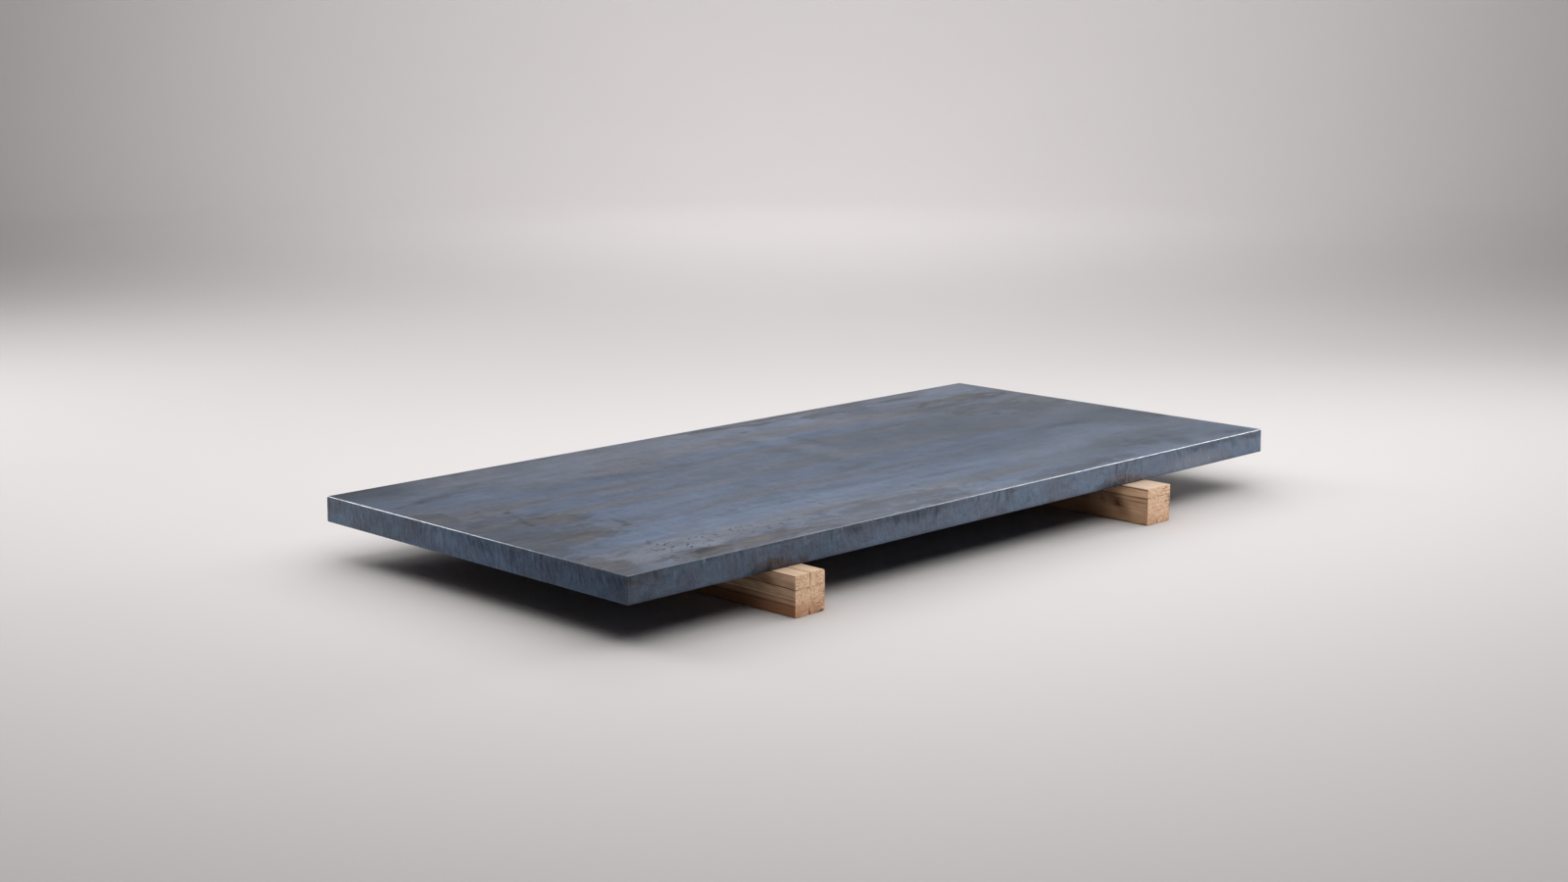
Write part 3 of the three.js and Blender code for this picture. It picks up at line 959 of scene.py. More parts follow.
@dataclass
class SteelPlate:
    """The thick plate, with its flame-cut sides."""

    low: Vector  # its lowest corner
    high: Vector  # its highest corner
    cell: float = 0.02  # size of the squares that its faces are divided in
    columns: int = 8  # how many columns of its side stand under each square
    rows: int = 9  # how many rows its side has
    border: float = 0.012  # how far inside the edge the squares stop
    support: float = 0.0015  # width of the band that keeps each face flat up to its arris
    taper: float = 0.0008  # how far the sides lean in from the lower edge to the upper
    top_arris: float = 0.0019  # radius of the upper edge
    bottom_arris: float = 0.001  # radius of the lower edge
    corner: float = 0.0015  # radius of the four corners in plan
    # gouges in the upper front edge
    nicks: tuple[Nick, ...] = (
        Nick(-0.972, 0.0060, 0.0012),
        Nick(-0.657, 0.0050, 0.0010),
        Nick(-0.533, 0.0045, 0.0008),
    )
    # the grooves of the cut in the sides
    drag_lines: Relief = Relief(0.008, 0.0007, 1.3, (1, 1, 14), (9, -9, 0))
    waves: Relief = Relief(0.07, 0.0007, 2.1)  # the slower unevenness of the sides
    swell: Relief = Relief(0.30, 0.0010, 3.7, (2.5, 1, 1))  # the faint hollows of the upper face
    calm_edge: float = 0.1  # how far from the edge those hollows reach their full depth

    @property
    def side_top(self) -> float:
        """Where the side's straight part ends, below the rounded edge."""
        return self.high.z - self.top_arris

    def section(self) -> list[tuple[float, float]]:
        """The side in section, from the upper face down to the lower.

        Returns:
            How far in and at what height each step lies.
        """
        arc = [math.radians(90 * step / 5) for step in range(6)]
        side_low = self.low.z + self.bottom_arris
        first = (self.taper + self.top_arris + self.support, self.high.z)
        rounded = []
        for turn in arc:
            inset = self.taper + self.top_arris * (1 - math.sin(turn))
            rounded.append((inset, self.side_top + self.top_arris * math.cos(turn)))
        cut = []
        for row in range(1, self.rows + 1):
            share = row / self.rows
            fall = (side_low - self.side_top) * share
            cut.append((self.taper * (1 - share), self.side_top + fall))
        under = []
        for turn in arc[2::3]:
            inset = self.bottom_arris * (1 - math.cos(turn))
            under.append((inset, side_low - self.bottom_arris * math.sin(turn)))
        return [first, *rounded, *cut, *under, (self.bottom_arris + self.support, self.low.z)]

    def model(self) -> Workpiece:
        """The plate as a closed mesh: one face, its edge drawn down around it, then the other.

        Returns:
            The piece, without its finishes.
        """
        span = self.high - self.low
        inner = Vector((span.x - 2 * self.border, span.y - 2 * self.border))
        bpy.ops.object.select_all(action="DESELECT")
        bpy.ops.mesh.primitive_grid_add(
            x_subdivisions=round(inner.x / self.cell),
            y_subdivisions=round(inner.y / self.cell),
            size=1.0,
            location=(0.0, 0.0, self.high.z),
        )
        plate = Workpiece("mill_plate", (inner.x, inner.y, 1.0))
        with plate.edit():
            plate.pick(
                Element.CORNERS,
                lambda at, _: abs(at.x) > inner.x / 2 - HAIR and abs(at.y) > inner.y / 2 - HAIR,
            )
            bpy.ops.mesh.bevel(offset=self.corner, segments=3, affect="VERTICES")
            plate.pick_rim()
            inset, height = self.border, self.high.z
            for step, (next_inset, next_height) in enumerate(self.section()):
                wider_x = (span.x - 2 * next_inset) / (span.x - 2 * inset)
                wider_y = (span.y - 2 * next_inset) / (span.y - 2 * inset)
                plate.draw_rim(wider_x, wider_y, next_height - height)
                if step == 0:
                    bpy.ops.mesh.subdivide(number_cuts=self.columns - 1)
                inset, height = next_inset, next_height
            bpy.ops.mesh.edge_face_add()
            plate.face_outwards()
        self._roughen(plate)
        with plate.edit():
            for nick in self.nicks:
                self._gouge(plate, nick)
        return plate

    def _roughen(self, plate: Workpiece) -> None:
        """Presses drag lines and waves into the sides, and a faint swell into the upper face.

        Args:
            plate: The plate.
        """
        inner_x = self.high.x - self.border
        inner_y = self.high.y - self.border

        def on_side(at: Vector) -> float:
            """How far a place belongs to the sides.

            Args:
                at: The place.

            Returns:
                1 on the sides, fading over the rounded upper edge.
            """
            if abs(at.x) < inner_x and abs(at.y) < inner_y:
                return 0.0
            if at.z > self.side_top + HAIR:
                return 0.5 * (self.high.z - at.z) / self.top_arris
            return 1.0 if at.z > self.low.z + HAIR else 0.0

        def on_face(at: Vector) -> float:
            """1 on the upper face, fading towards its edge."""
            inside = min(inner_x - abs(at.x), inner_y - abs(at.y)) / self.calm_edge
            return min(max(inside, 0.0), 1.0) if at.z > self.side_top else 0.0

        plate.weigh("cut_side", on_side)
        plate.weigh("upper_face", on_face)
        self.drag_lines.press_into(plate, "cut_side")
        self.waves.press_into(plate, "cut_side")
        self.swell.press_into(plate, "upper_face")

    def _gouge(self, plate: Workpiece, nick: Nick) -> None:
        """Presses one gouge into the upper front edge.

        Args:
            plate: The plate, in edit mode.
            nick: The gouge.
        """
        edge = Vector((nick.x, self.low.y + self.taper, self.high.z))
        seen = bmesh.from_edit_mesh(plate.shape.data).verts
        nearest = min((corner.co for corner in seen), key=lambda at: (at - edge).length)
        plate.pick(Element.CORNERS, lambda at, _: (at - nearest).length < HAIR)
        bpy.ops.transform.translate(
            value=(0.0, nick.depth, -nick.depth),
            use_proportional_edit=True,
            proportional_size=nick.reach,
            proportional_edit_falloff="SPHERE",
        )

    def build(self) -> Workpiece:
        """Models the plate, dresses it and hands it over.

        Returns:
            The finished piece.
        """
        plate = self.model()
        steep = 0.7  # the part of a face's normal that points up or down, on the flat faces
        rim = self.top_arris + 2 * self.taper

        def on_arris(middle: Vector, _: Vector) -> bool:
            """Whether a face belongs to the rounded upper edge."""
            inset = min(self.high.x - abs(middle.x), self.high.y - abs(middle.y))
            return self.side_top < middle.z < self.high.z - HAIR and inset < rim

        plate.dress(MillScale().make("mill_scale_upper", STAINS))
        plate.dress(MillScale().make("mill_scale_under", {}), lambda _, normal: normal.z < -steep)
        plate.dress(
            FlameCut(self.low, self.high).make("flame_cut_side", SMUDGES),
            lambda middle, normal: abs(normal.z) <= steep and middle.z < self.side_top,
        )
        plate.dress(ArrisWithPaintedHighlight(self.low.x, self.low.y).make("arris_painted_highlight"), on_arris)
        plate.smooth(35)
        ride(plate, "steel_plate")
        return plate


# ---- Timber ---------------------------------------------------------------------------------


class Side(Enum):
    """A long face of a bearer, as the way that it looks in section."""

    TOP = (0, 1)
    BOTTOM = (0, -1)
    LEFT = (-1, 0)
    RIGHT = (1, 0)

    @property
    def outward(self) -> Vector:
        """The way that the face looks."""
        return Vector((self.value[0], 0.0, self.value[1]))

    @property
    def across(self) -> Vector:
        """The way across the face."""
        return Vector((abs(self.value[1]), 0.0, abs(self.value[0])))


@dataclass(frozen=True)
class Check:
    """A drying crack that runs in from a sawn end."""

    side: Side  # the face that it opens in
    front: bool  # whether it starts at the front end
    offset: float  # where it is across that face, from the middle
    mouth: float  # its width at the end
    depth: float  # its depth at the end
    run: float  # its length along the timber


@dataclass(frozen=True)
class Knot:
    """A branch that grew out through the left face."""

    y: float  # where it is along the timber
    z: float  # its height
    half: float  # half its width
    swirl: float  # how far it pushes the grain aside
    turn: float  # degrees that its length leans


@dataclass(frozen=True)
class Seam:
    """A dark line along a growth ring, where dirt has settled; over a drying crack it is also that
    crack's painted shade.
    """

    z: float  # its height
    half: float  # half its width
    strength: float  # from 0 to 1
    on_end: float = 0.0  # how strongly it shows on the sawn ends, from 0 to 1


@dataclass(frozen=True)
class SawnSoftwood:
    """Dry sawn softwood with rings about its pith."""

    low: Vector  # the timber's lowest corner
    high: Vector  # its highest corner
    pith_x: float  # the pith's place along X
    pith_z: float  # the pith's height
    ring: float  # the width of a year's growth
    early: Colour  # spring wood
    late: Colour  # summer wood
    heart: Colour  # the redder wood low in the piece
    top: Colour  # the paler, cleaner upper face
    seed: float  # another pattern for another number
    seams: tuple[Seam, ...]  # dark lines along the grain
    knots: tuple[Knot, ...] = ()  # knots in the left face
    rim: float = 0.0  # how much darker the side faces are along their edges, from 0 to 1
    painted_shade_under_plate: float = 0.0  # painted shade: how much darker the wood is well under the plate, from 0 to 1
    painted_shade_top: float = 1.0  # up to which share of the height that painted shade reaches
    seam: Colour = (0.105, 0.048, 0.024)  # dirt in a seam; also the painted shade under the plate and over the drying cracks
    pitch: Colour = (0.030, 0.015, 0.010)  # the dark middle of a knot

    def _grain(
        self, tree: ShaderTree, per_metre: Triple | float, layer: int, **finer: float
    ) -> Wire:
        """Noise of this timber's own, another one for each layer, and as finely as asked."""
        return tree.noise(tree.place, per_metre, self.seed + layer, **finer)

    def _rings(self, tree: ShaderTree) -> tuple[Wire, Wire | None, Wire | None]:
        """The growth rings and knots.

        Args:
            tree: The material.

        Returns:
            The share of summer wood, and, where there are knots, how near one is and how near
            the burnt wood round it.
        """
        bent = tree.warped(tree.place, (6.0, 1.1, 6.0), 0.010, self.seed)
        section = tree.moved(bent, (1, 0, 1), (-self.pith_x, 0.0, -self.pith_z))
        radius = tree.length(section)
        cores, halos = [], []
        for knot in self.knots:
            half = (ENDLESS, knot.half * 2.0, knot.half)
            ball = tree.about(tree.place, (0.0, knot.y, knot.z), half, (knot.turn, 0, 0))
            reach = tree.length(ball)
            radius = radius + reach.rise(3.6, 0.3) * knot.swirl
            cores.append(reach.rise(3.0, 0.6))
            halos.append(reach.rise(13.0, 1.0))
        wavy = radius + (self._grain(tree, (36.0, 2.5, 36.0), 1) - 0.5) * 0.004
        uneven = tree.ripple(wavy, 70.0, self.seed + 12) * 1.6
        phase = (wavy / self.ring + uneven).fraction()
        vigour = tree.ripple(wavy, 190.0, self.seed + 13).rise(0.30, 0.68)
        late = phase.rise(0.30, 0.90) * phase.rise(1.0, 0.92) * (0.20 + vigour * 0.80)
        return late, strongest(cores), strongest(halos)

    def _dark_seams(self, tree: ShaderTree, height_at: Wire, strengths: Sequence[float]) -> Wire:
        """How dark the seams are at each place; over the drying cracks this is painted shade.

        Args:
            tree: The material.
            height_at: Each place's height.
            strengths: How strongly each seam shows, from 0 to 1.

        Returns:
            From 0 to 1.
        """
        wander = (self._grain(tree, (14.0, 4.0, 3.0), 15) - 0.5) * 0.012
        broken = self._grain(tree, (60.0, 14.0, 60.0), 16, detail=3.0).rise(0.25, 0.50)
        lines = []
        for seam, strength in zip(self.seams, strengths):
            if strength:
                line = ((height_at - seam.z + wander) / seam.half).size().rise(1.6, 0.4)
                lines.append(line * broken * strength)
        return strongest(lines)

    def sawn_face(self, name: str) -> bpy.types.Material:
        """The long faces, where the rings show as stripes along the grain.

        Args:
            name: The material's name.

        Returns:
            The material.
        """
        tree = ShaderTree(name)
        late, near, around = self._rings(tree)
        _, depth_at, height_at = tree.split(tree.place)
        up = height_at.share(self.low.z, self.high.z)
        behind = depth_at - self.low.y
        band = self._grain(tree, (26.0, 1.0, 26.0), 2, detail=3.0)
        fibre = self._grain(tree, (520.0, 14.0, 520.0), 3, detail=4.0, rough=0.6)
        streak = self._grain(tree, (140.0, 3.5, 140.0), 4, detail=4.0, rough=0.65)
        flame = self._grain(tree, (60.0, 6.0, 60.0), 17, detail=4.0, warp=0.8)
        burnt = self._grain(tree, (24.0, 7.0, 24.0), 19, detail=5.0, warp=0.6)
        saw = self._grain(tree, (6.0, 130.0, 6.0), 5, detail=2.0)
        coats = [
            (late * 0.40, self.late),
            (band.rise(0.48, 0.68) * 0.40, self.late),
            (streak.rise(0.50, 0.68) * 0.60, self.late),
            (flame.rise(0.54, 0.66) * 0.40, self.late),
            (burnt.rise(0.52, 0.68) * 0.45, self.seam),
            (up.rise(0.46, 0.20) * 0.88, self.heart),
            (up.rise(0.965, 0.995) * 0.85, self.top),
        ]
        # painted shade on the side faces, well under the plate
        if self.painted_shade_under_plate:
            under = behind.rise(0.05, 0.22) * up.rise(self.painted_shade_top, self.painted_shade_top - 0.1)
            coats.append((under * self.painted_shade_under_plate, self.seam))
        if self.rim:
            edge = (up.rise(0.92, 0.955) * up.rise(0.99, 0.965)).larger(up.rise(0.035, 0.01))
            edge = edge.larger(behind.rise(0.004, 0.001) * up.rise(0.99, 0.96))
            coats.append((edge * streak.rise(0.30, 0.50) * self.rim, self.seam))
        strengths = [seam.strength for seam in self.seams]
        coats.append((self._dark_seams(tree, height_at, strengths), self.seam))
        if self.knots:
            scorch = around * (burnt + flame).rise(0.70, 1.05)
            coats += [
                (scorch * 0.92, self.seam),
                (near.rise(0.0, 0.6) * 0.65, self.seam),
                ((near + flame * 0.3).rise(0.90, 1.15) * 0.75, self.pitch),
            ]
        tone = 0.66 + fibre * 0.40 + streak.rise(0.6, 0.3) * 0.14 + saw * 0.08
        colour = tree.shaded(tree.layered(self.early, *coats), tone)
        rough = 0.72 + (fibre - 0.5) * 0.2
        relief = fibre * 0.4 + late * 0.3 + saw * 0.3
        return tree.finish(colour, rough, relief, 0.0007, Specular_IOR_Level=0.3)

    def end_grain(self, name: str) -> bpy.types.Material:
        """The sawn ends, speckled and with the rings showing faintly.

        Args:
            name: The material's name.

        Returns:
            The material.
        """
        tree = ShaderTree(name)
        late, _, _ = self._rings(tree)
        along, _, height_at = tree.split(tree.place)
        up = height_at.share(self.low.z, self.high.z)
        right = along.share(self.low.x, self.high.x)
        speckle = self._grain(tree, 330.0, 6, detail=1.0, rough=0.5)
        clumps = self._grain(tree, (120.0, 120.0, 170.0), 18, detail=3.0, warp=0.5)
        pores = self._grain(tree, 1000.0, 7, detail=2.0, rough=0.6)
        blotch = self._grain(tree, 34.0, 8, detail=4.0)
        flaw = self._grain(tree, (45.0, 45.0, 150.0), 20, detail=3.0, warp=0.4)
        kerf = self._grain(tree, (10.0, 10.0, 240.0), 9, detail=2.0)
        fresh = tuple((early + top) / 2 for early, top in zip(self.early, self.top))
        warm = up.rise(0.52, 0.02).larger(right.rise(0.72, 1.02) * up.rise(0.80, 0.40) * 0.9)
        scars = flaw.rise(0.57, 0.62) * right.rise(0.45, 0.85)
        colour = tree.layered(
            fresh,
            (late * 0.18, self.late),
            (clumps.rise(0.48, 0.66) * 0.38, self.late),
            (warm * blotch.rise(0.34, 0.56) * 0.72, self.heart),
            (speckle.rise(0.53, 0.66) * 0.58, self.late),
            (scars * 0.75, self.seam),
            (self._dark_seams(tree, height_at, [seam.on_end for seam in self.seams]), self.seam),
        )
        colour = tree.shaded(colour, 0.82 + speckle.rise(0.46, 0.30) * 0.26 + pores * 0.24)
        rough = 0.85 + (speckle - 0.5) * 0.1
        relief = speckle * 0.5 + pores * 0.2 + kerf * 0.3
        return tree.finish(colour, rough, relief, 0.0012, Specular_IOR_Level=0.2)


@dataclass
class Bearer:
    """One length of sawn timber under the plate."""

    node: str  # the plain solid that it stands for
    slot: str  # a material slot's name, not used
    wood: SawnSoftwood  # its finish, which knows its corners
    waned_edges: tuple[tuple[int, int], ...]  # the edges, as signs along X and Z, that are waned
    checks: tuple[Check, ...]  # its drying cracks
    skew: float = 0.0  # degrees that the front saw cut is out of square
    sharp: float = 0.0014  # radius of an edge as the saw left it
    waned: float = 0.007  # radius of an edge sawn close under the bark
    worn_end: float = 0.0011  # width of the worn edges round the saw cuts
    lengths: int = 13  # how often the timber is divided along its length, and each part again
    strips: int = 12  # how often each long face is divided across
    crack_steps: int = 14  # how many lengths a crack is drawn in
    crack_end: float = 0.03  # what is left of a crack's section, in area, where it closes
    wander: float = 0.0006  # how far a crack strays from a straight line at each step
    overshoot: float = 0.002  # how far a crack's wedge reaches out of the timber

    @property
    def middle(self) -> Vector:
        """The timber's middle."""
        return (self.wood.low + self.wood.high) / 2

    @property
    def span(self) -> Vector:
        """Its width, length and height."""
        return self.wood.high - self.wood.low

    def _round_edges(self, timber: Workpiece) -> None:
        """Rounds the four long edges, the waned ones more.

        Args:
            timber: The timber, in edit mode.
        """
        for side_x in (-1, 1):
            for side_z in (-1, 1):
                to_edge = Vector((side_x * self.span.x, 0.0, side_z * self.span.z)) / 2
                edge = self.middle + to_edge
                timber.pick(Element.EDGES, lambda middle, _: (middle - edge).length < HAIR)
                waned = (side_x, side_z) in self.waned_edges
                bpy.ops.mesh.bevel(offset=self.waned if waned else self.sharp, segments=5)

    def _saw_end(self) -> None:
        """Trims the front end a little out of square, in edit mode."""
        turn = math.radians(self.skew)
        bpy.ops.mesh.select_all(action="SELECT")
        bpy.ops.mesh.bisect(
            plane_co=(self.wood.low.x, self.wood.low.y, self.middle.z),
            plane_no=(math.sin(turn), -math.cos(turn), 0.0),
            use_fill=True,
            clear_outer=True,
        )

    def _wear_ends(self, timber: Workpiece) -> None:
        """Breaks the sharp edges round both saw cuts.

        Args:
            timber: The timber, in edit mode.
        """
        near_end = 0.4 * self.span.y
        timber.pick(Element.EDGES, lambda middle, _: abs(middle.y - self.middle.y) > near_end)
        bpy.ops.mesh.bevel(offset=self.worn_end, segments=2)

    def _divide(self, timber: Workpiece) -> None:
        """Divides the long faces finely enough to be roughened.

        Args:
            timber: The timber, in edit mode.
        """
        whole = 0.9 * self.span.y
        for shortest in (whole, whole / (self.lengths + 1)):
            timber.pick(Element.EDGES, lambda _, way: abs(way.y) > shortest)
            bpy.ops.mesh.subdivide(number_cuts=self.lengths)
        wide = 0.5 * self.span.z
        timber.pick(Element.EDGES, lambda _, way: way.length > wide and abs(way.y) < 0.1 * wide)
        bpy.ops.mesh.subdivide(number_cuts=self.strips)

    def _crack(self, timber: Workpiece, check: Check) -> None:
        """Cuts one drying crack: a wedge drawn along the grain and taken out of the timber.

        Args:
            timber: The timber.
            check: The crack.
        """
        across, outward = check.side.across, check.side.outward
        along = Vector((0.0, 1.0 if check.front else -1.0, 0.0))
        to_face = abs(outward.dot(self.span)) / 2
        mouth = self.middle + across * check.offset + outward * to_face
        mouth.y = self.wood.low.y if check.front else self.wood.high.y
        mouth -= along * self.overshoot
        height = check.depth + self.overshoot
        width = check.mouth * height / check.depth
        turned = Matrix((across, -outward, across.cross(-outward))).transposed().to_euler()
        bpy.ops.object.select_all(action="DESELECT")
        bpy.ops.mesh.primitive_circle_add(
            vertices=3,
            radius=1.0,
            fill_type="NGON",
            rotation=turned,
            location=mouth + outward * (self.overshoot - height / 3),
        )
        wedge = Workpiece("wedge", (width / math.sqrt(3), height / 1.5, 1.0))
        with wedge.edit():
            bpy.ops.mesh.select_all(action="SELECT")
            size = 1.0
            for step in range(1, self.crack_steps + 1):
                share = step / self.crack_steps
                narrower = math.sqrt(1 - (1 - self.crack_end) * share)
                drift = self.wander * math.sin(5.3 * step + 900 * check.offset)
                move = across * drift + along * (check.run / self.crack_steps)
                bpy.ops.mesh.extrude_region_move(TRANSFORM_OT_translate={"value": move})
                bpy.ops.transform.resize(
                    value=(narrower / size,) * 3,
                    center_override=mouth + along * (check.run * share),
                )
                size = narrower
            wedge.face_outwards()
        timber.apply("BOOLEAN", object=wedge.shape, operation="DIFFERENCE", solver="EXACT")
        bpy.data.objects.remove(wedge.shape)

    def build(self) -> Workpiece:
        """Models the bearer, dresses it and hands it over.

        Returns:
            The finished piece.
        """
        bpy.ops.object.select_all(action="DESELECT")
        bpy.ops.mesh.primitive_cube_add(size=1.0, location=self.middle)
        timber = Workpiece(f"sawn_{self.node}", self.span)
        with timber.edit():
            self._round_edges(timber)
            if self.skew:
                self._saw_end()
            self._wear_ends(timber)
            self._divide(timber)
        timber.weigh("all_over", lambda at: 1.0)
        waves = Relief(size=0.06, depth=0.0009, seed=self.wood.seed, stretch=(1, 4, 1))
        fuzz = Relief(size=0.012, depth=0.0004, seed=self.wood.seed + 1)
        waves.press_into(timber, "all_over")
        fuzz.press_into(timber, "all_over")
        for check in self.checks:
            self._crack(timber, check)
        timber.dress(self.wood.sawn_face(f"{self.node}_face"))
        end = self.wood.end_grain(f"{self.node}_end")
        timber.dress(end, lambda _, normal: abs(normal.y) > 0.8)
        timber.smooth(30)
        ride(timber, self.node)
        return timber


def left_bearer() -> Bearer:
    """The bearer near the plate's left end: waned on the right, and sawn out of square.

    Returns:
        The bearer.
    """
    low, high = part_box("left_bearer")
    wood = SawnSoftwood(
        low=low,
        high=high,
        pith_x=low.x + 0.055,
        pith_z=-0.035,
        ring=0.0062,
        early=(0.67, 0.450, 0.295),
        late=(0.290, 0.140, 0.066),
        heart=(0.36, 0.155, 0.068),
        top=(0.645, 0.465, 0.320),
        seed=11.0,
        seams=(
            # this seam lies over the crack in the left face and paints its shade
            Seam(0.067, 0.0011, 0.80, 0.45),
            Seam(0.027, 0.0024, 0.60),
            Seam(0.052, 0.0008, 0.35),
            Seam(0.040, 0.0007, 0.30),
            Seam(0.012, 0.0012, 0.30),
        ),
        painted_shade_under_plate=0.45,
        painted_shade_top=0.45,
    )
    checks = (
        Check(Side.TOP, True, 0.0, 0.0044, 0.036, 0.42),
        Check(Side.BOTTOM, True, -0.003, 0.0055, 0.025, 0.26),
        Check(Side.LEFT, True, 0.017, 0.0009, 0.008, 0.64),
        Check(Side.TOP, False, 0.006, 0.0024, 0.028, 0.30),
    )
    return Bearer("left_bearer", "left_softwood", wood, ((1, 1), (1, -1)), checks, skew=2.0)


def right_bearer() -> Bearer:
    """The bearer near the plate's right end, with knots in its left face.

    Returns:
        The bearer.
    """
    low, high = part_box("right_bearer")
    wood = SawnSoftwood(
        low=low,
        high=high,
        pith_x=low.x + 0.070,
        pith_z=0.150,
        ring=0.0060,
        early=(0.78, 0.505, 0.315),
        late=(0.35, 0.165, 0.075),
        heart=(0.50, 0.295, 0.165),
        top=(0.600, 0.460, 0.350),
        seed=23.0,
        seams=(
            # this seam lies over the crack in the left face and paints its shade
            Seam(0.073, 0.0012, 0.85, 0.50),
            Seam(0.060, 0.0008, 0.14),
            Seam(0.090, 0.0009, 0.35),
            Seam(0.004, 0.0040, 0.35),
        ),
        knots=(
            Knot(-0.558, 0.047, 0.0027, 0.010, 40),
            Knot(-0.505, 0.053, 0.0010, 0.005, 30),
            Knot(-0.430, 0.062, 0.0016, 0.006, 20),
        ),
        rim=0.7,
        painted_shade_under_plate=0.80,
    )
    checks = (
        Check(Side.LEFT, True, 0.022, 0.0011, 0.020, 0.56),
        Check(Side.RIGHT, True, 0.014, 0.0014, 0.014, 0.18),
        Check(Side.BOTTOM, True, -0.006, 0.0030, 0.019, 0.21),
        Check(Side.BOTTOM, False, 0.007, 0.0026, 0.030, 0.28),
    )
    return Bearer("right_bearer", "right_softwood", wood, ((1, -1),), checks)


# ---- Studio ---------------------------------------------------------------------------------


@dataclass(frozen=True)
class Lamp:
    """One soft lamp."""

    name: str  # the lamp's name
    at: Triple  # where it hangs
    aim: Triple  # the point that it faces
    size: tuple[float, float]  # its width and height
    power: float  # in watts
    spares_studio: bool = False  # whether it lights the stock alone, not floor and wall
    beam: float = 180.0  # the angle that its light fans out over, in degrees

    def hang(self, spared: bpy.types.Collection) -> None:
        """Puts the lamp in the scene, hidden from the camera itself.

        Args:
            spared: What the lamp leaves dark, where it spares the studio.
        """
        lamp = bpy.data.lights.new(self.name, "AREA")
        lamp.spread = math.radians(self.beam)
        lamp.shape = "RECTANGLE"
        lamp.size, lamp.size_y = self.size
        lamp.energy = self.power
        hung = bpy.data.objects.new(self.name, lamp)
        bpy.context.scene.collection.objects.link(hung)
        way = Vector(self.aim) - Vector(self.at)
        hung.location = self.at
        hung.rotation_euler = way.to_track_quat("-Z", "Y").to_euler()
        hung.visible_camera = False
        if self.spares_studio:
            hung.light_linking.receiver_collection = spared


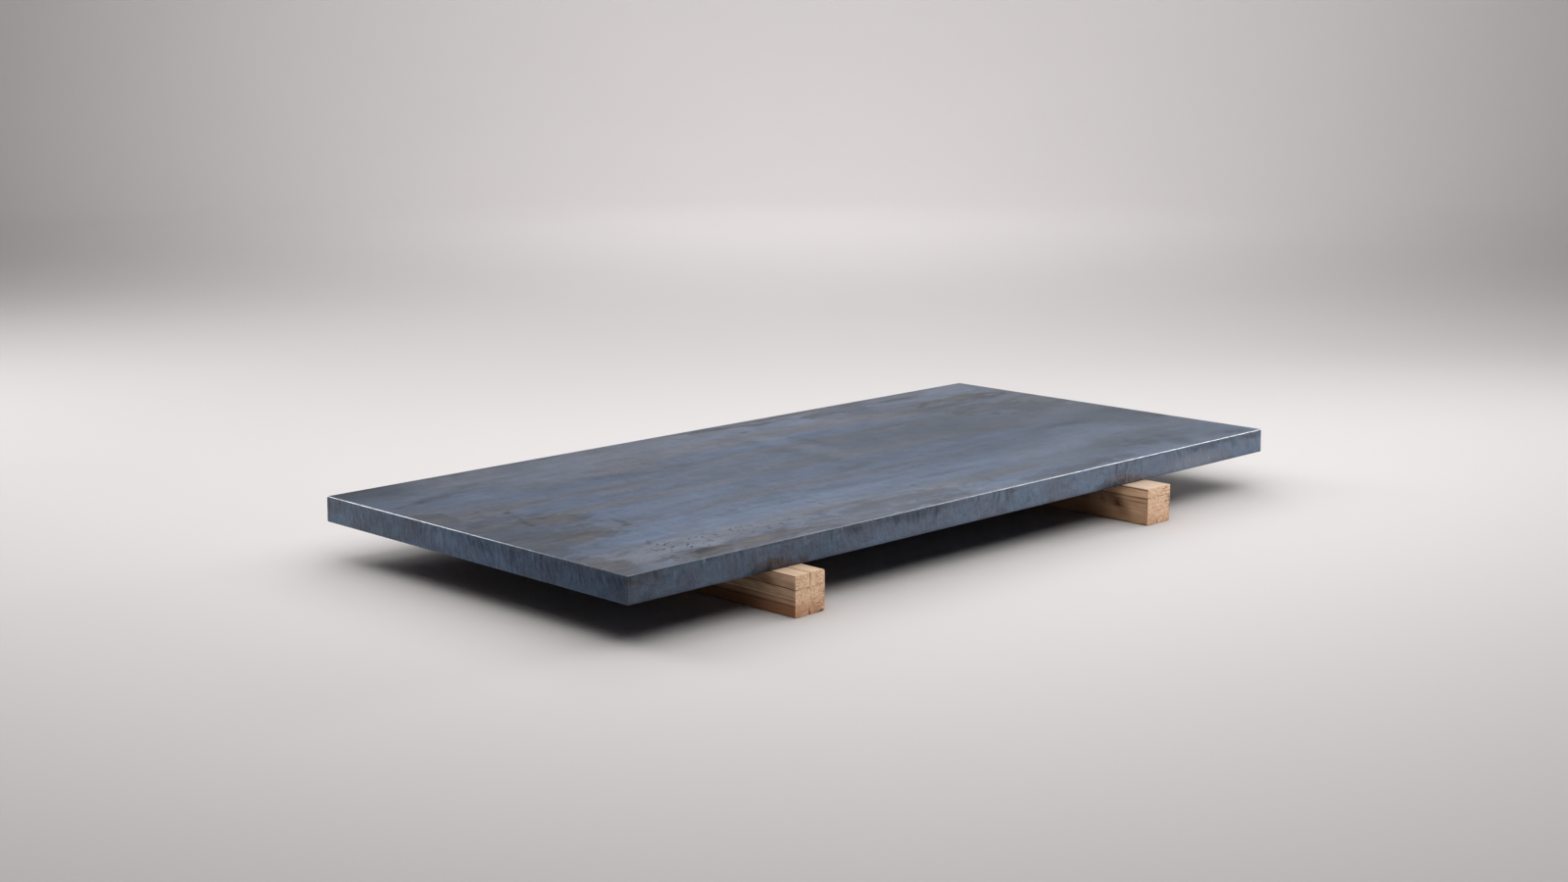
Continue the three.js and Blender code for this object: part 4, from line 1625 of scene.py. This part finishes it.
@dataclass
class Studio:
    """A pale floor that sweeps up into a wall all round, with soft light from above."""

    floor_radius: float = 9.5  # where the floor starts to rise
    sweep: float = 3.0  # radius of the curve between floor and wall
    steps: int = 16  # how many bands that curve is drawn in
    wall: float = 4.0  # height of the wall above that curve
    paint: Colour = (0.624, 0.597, 0.591)  # colour of floor and wall
    dome: float = 0.004  # strength of the light that comes from everywhere
    sky: Colour = (0.95, 0.97, 1.0)  # colour of that light
    # the soft lamps
    lamps: tuple[Lamp, ...] = (
        Lamp("overhead", (0.6, 0.4, 3.0), (0.6, 0.4, 0.0), (8.0, 8.0), 156.0),
        Lamp("overhead_near", (0.4, -0.3, 2.0), (0.4, -0.3, 0.0), (5.0, 4.0), 57.0),
        Lamp("far_floor", (5.0, 5.0, 4.0), (5.0, 5.0, 0.0), (4.0, 4.0), 160.0),
        Lamp("wall_wash", (6.5, 6.5, 4.5), (9.0, 9.0, 1.0), (9.0, 3.0), 172.0),
        Lamp("left_back", (-2.0, 4.2, 2.6), (-0.8, 2.8, 0.0), (2.5, 2.5), 88.0),
        Lamp("right_back", (4.8, -1.0, 2.6), (3.0, -0.4, 0.0), (2.5, 2.5), 10.0),
        Lamp("right_low", (6.0, -1.1, 1.5), (1.1, -0.45, 0.0), (1.6, 0.8), 5.3, beam=40.0),
        Lamp("right_fill", (5.0, -4.5, 1.2), (0.9, -0.6, 0.1), (3.0, 2.0), 140.0, True),
        Lamp("front_fill", (-0.5, -4.5, 1.0), (-0.5, -0.6, 0.1), (2.0, 1.5), 36.0, True),
        Lamp("end_fill", (6.5, 3.2, 1.6), (1.1, -0.1, 0.16), (2.0, 1.2), 16.0, True),
        Lamp("corner_fill", (2.5, 7.0, 2.0), (-1.0, 0.2, 0.16), (2.0, 1.2), 8.0, True),
        Lamp("left_fill", (-4.5, 2.5, 1.0), (-1.2, 0.3, 0.1), (2.0, 1.5), 6.0, True),
    )

    def profile(self) -> list[tuple[float, float]]:
        """The rise from the floor to the top of the wall.

        Returns:
            The radius and the height of each step.
        """
        path = []
        for step in range(1, self.steps + 1):
            turn = math.radians(90 * step / self.steps)
            radius = self.floor_radius + self.sweep * math.sin(turn)
            path.append((radius, self.sweep * (1 - math.cos(turn))))
        return [*path, (self.floor_radius + self.sweep, self.sweep + self.wall)]

    def build_cove(self) -> bpy.types.Object:
        """Models the floor and the wall as one swept surface.

        Returns:
            Their object.
        """
        bpy.ops.object.select_all(action="DESELECT")
        bpy.ops.mesh.primitive_circle_add(vertices=160, radius=0.5, fill_type="NGON")
        cove = Workpiece("studio_cove", (2 * self.floor_radius, 2 * self.floor_radius, 1.0))
        with cove.edit():
            cove.pick_rim()
            radius, height = self.floor_radius, 0.0
            for next_radius, next_height in self.profile():
                wider = next_radius / radius
                cove.draw_rim(wider, wider, next_height - height)
                radius, height = next_radius, next_height
        tree = ShaderTree("studio_paint")
        patch = tree.noise(tree.place, 0.8, 2.2, detail=2.0)
        colour = tree.shaded(self.paint, 0.985 + patch * 0.03)
        cove.dress(tree.finish(colour, 0.9, patch, 0.0001, Specular_IOR_Level=0.1))
        cove.smooth(60)
        return cove.shape

    def light(self, cove: bpy.types.Object) -> None:
        """Hangs the lamps and sets the dome's faint glow.

        Args:
            cove: The floor and the wall.
        """
        spared = bpy.data.collections.new("spared_by_fill")
        spared.objects.link(cove)
        spared.collection_objects[0].light_linking.link_state = "EXCLUDE"
        for lamp in self.lamps:
            lamp.hang(spared)
        world = bpy.data.worlds.new("studio_dome")
        bpy.context.scene.world = world
        world.use_nodes = True
        glow = world.node_tree.nodes["Background"]
        glow.inputs["Color"].default_value = (*self.sky, 1.0)
        glow.inputs["Strength"].default_value = self.dome


@dataclass(frozen=True)
class Viewpoint:
    """Where the picture is taken from."""

    at: Triple = (-4.31407, -4.21812, 1.38682)  # the camera's place
    yaw: float = 44.564  # degrees that it looks round from +Y towards +X
    pitch: float = 10.964  # degrees that it looks down
    roll: float = -0.170  # degrees that it leans
    lens: float = 52.61  # focal length in millimetres
    sensor: float = 36.0  # width of the sensor in millimetres

    def place(self) -> None:
        """Makes the camera and gives it to the scene."""
        camera = bpy.data.cameras.new("camera")
        camera.lens = self.lens
        camera.sensor_width = self.sensor
        stand = bpy.data.objects.new("camera", camera)
        bpy.context.scene.collection.objects.link(stand)
        turned = (
            Matrix.Rotation(math.radians(-self.yaw), 3, "Z")
            @ Matrix.Rotation(math.radians(90 - self.pitch), 3, "X")
            @ Matrix.Rotation(math.radians(self.roll), 3, "Z")
        )
        stand.location = self.at
        stand.rotation_euler = turned.to_euler()
        bpy.context.scene.camera = stand


def main() -> None:
    """Builds the studio, the plate and its bearers, in that order."""
    logging.basicConfig(level=logging.INFO, format="%(message)s")
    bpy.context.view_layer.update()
    bpy.context.scene.view_settings.view_transform = "Standard"
    Viewpoint().place()
    studio = Studio()
    studio.light(studio.build_cove())
    SteelPlate(*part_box("steel_plate")).build()
    left_bearer().build()
    right_bearer().build()


if __name__ == "__main__":
    main()
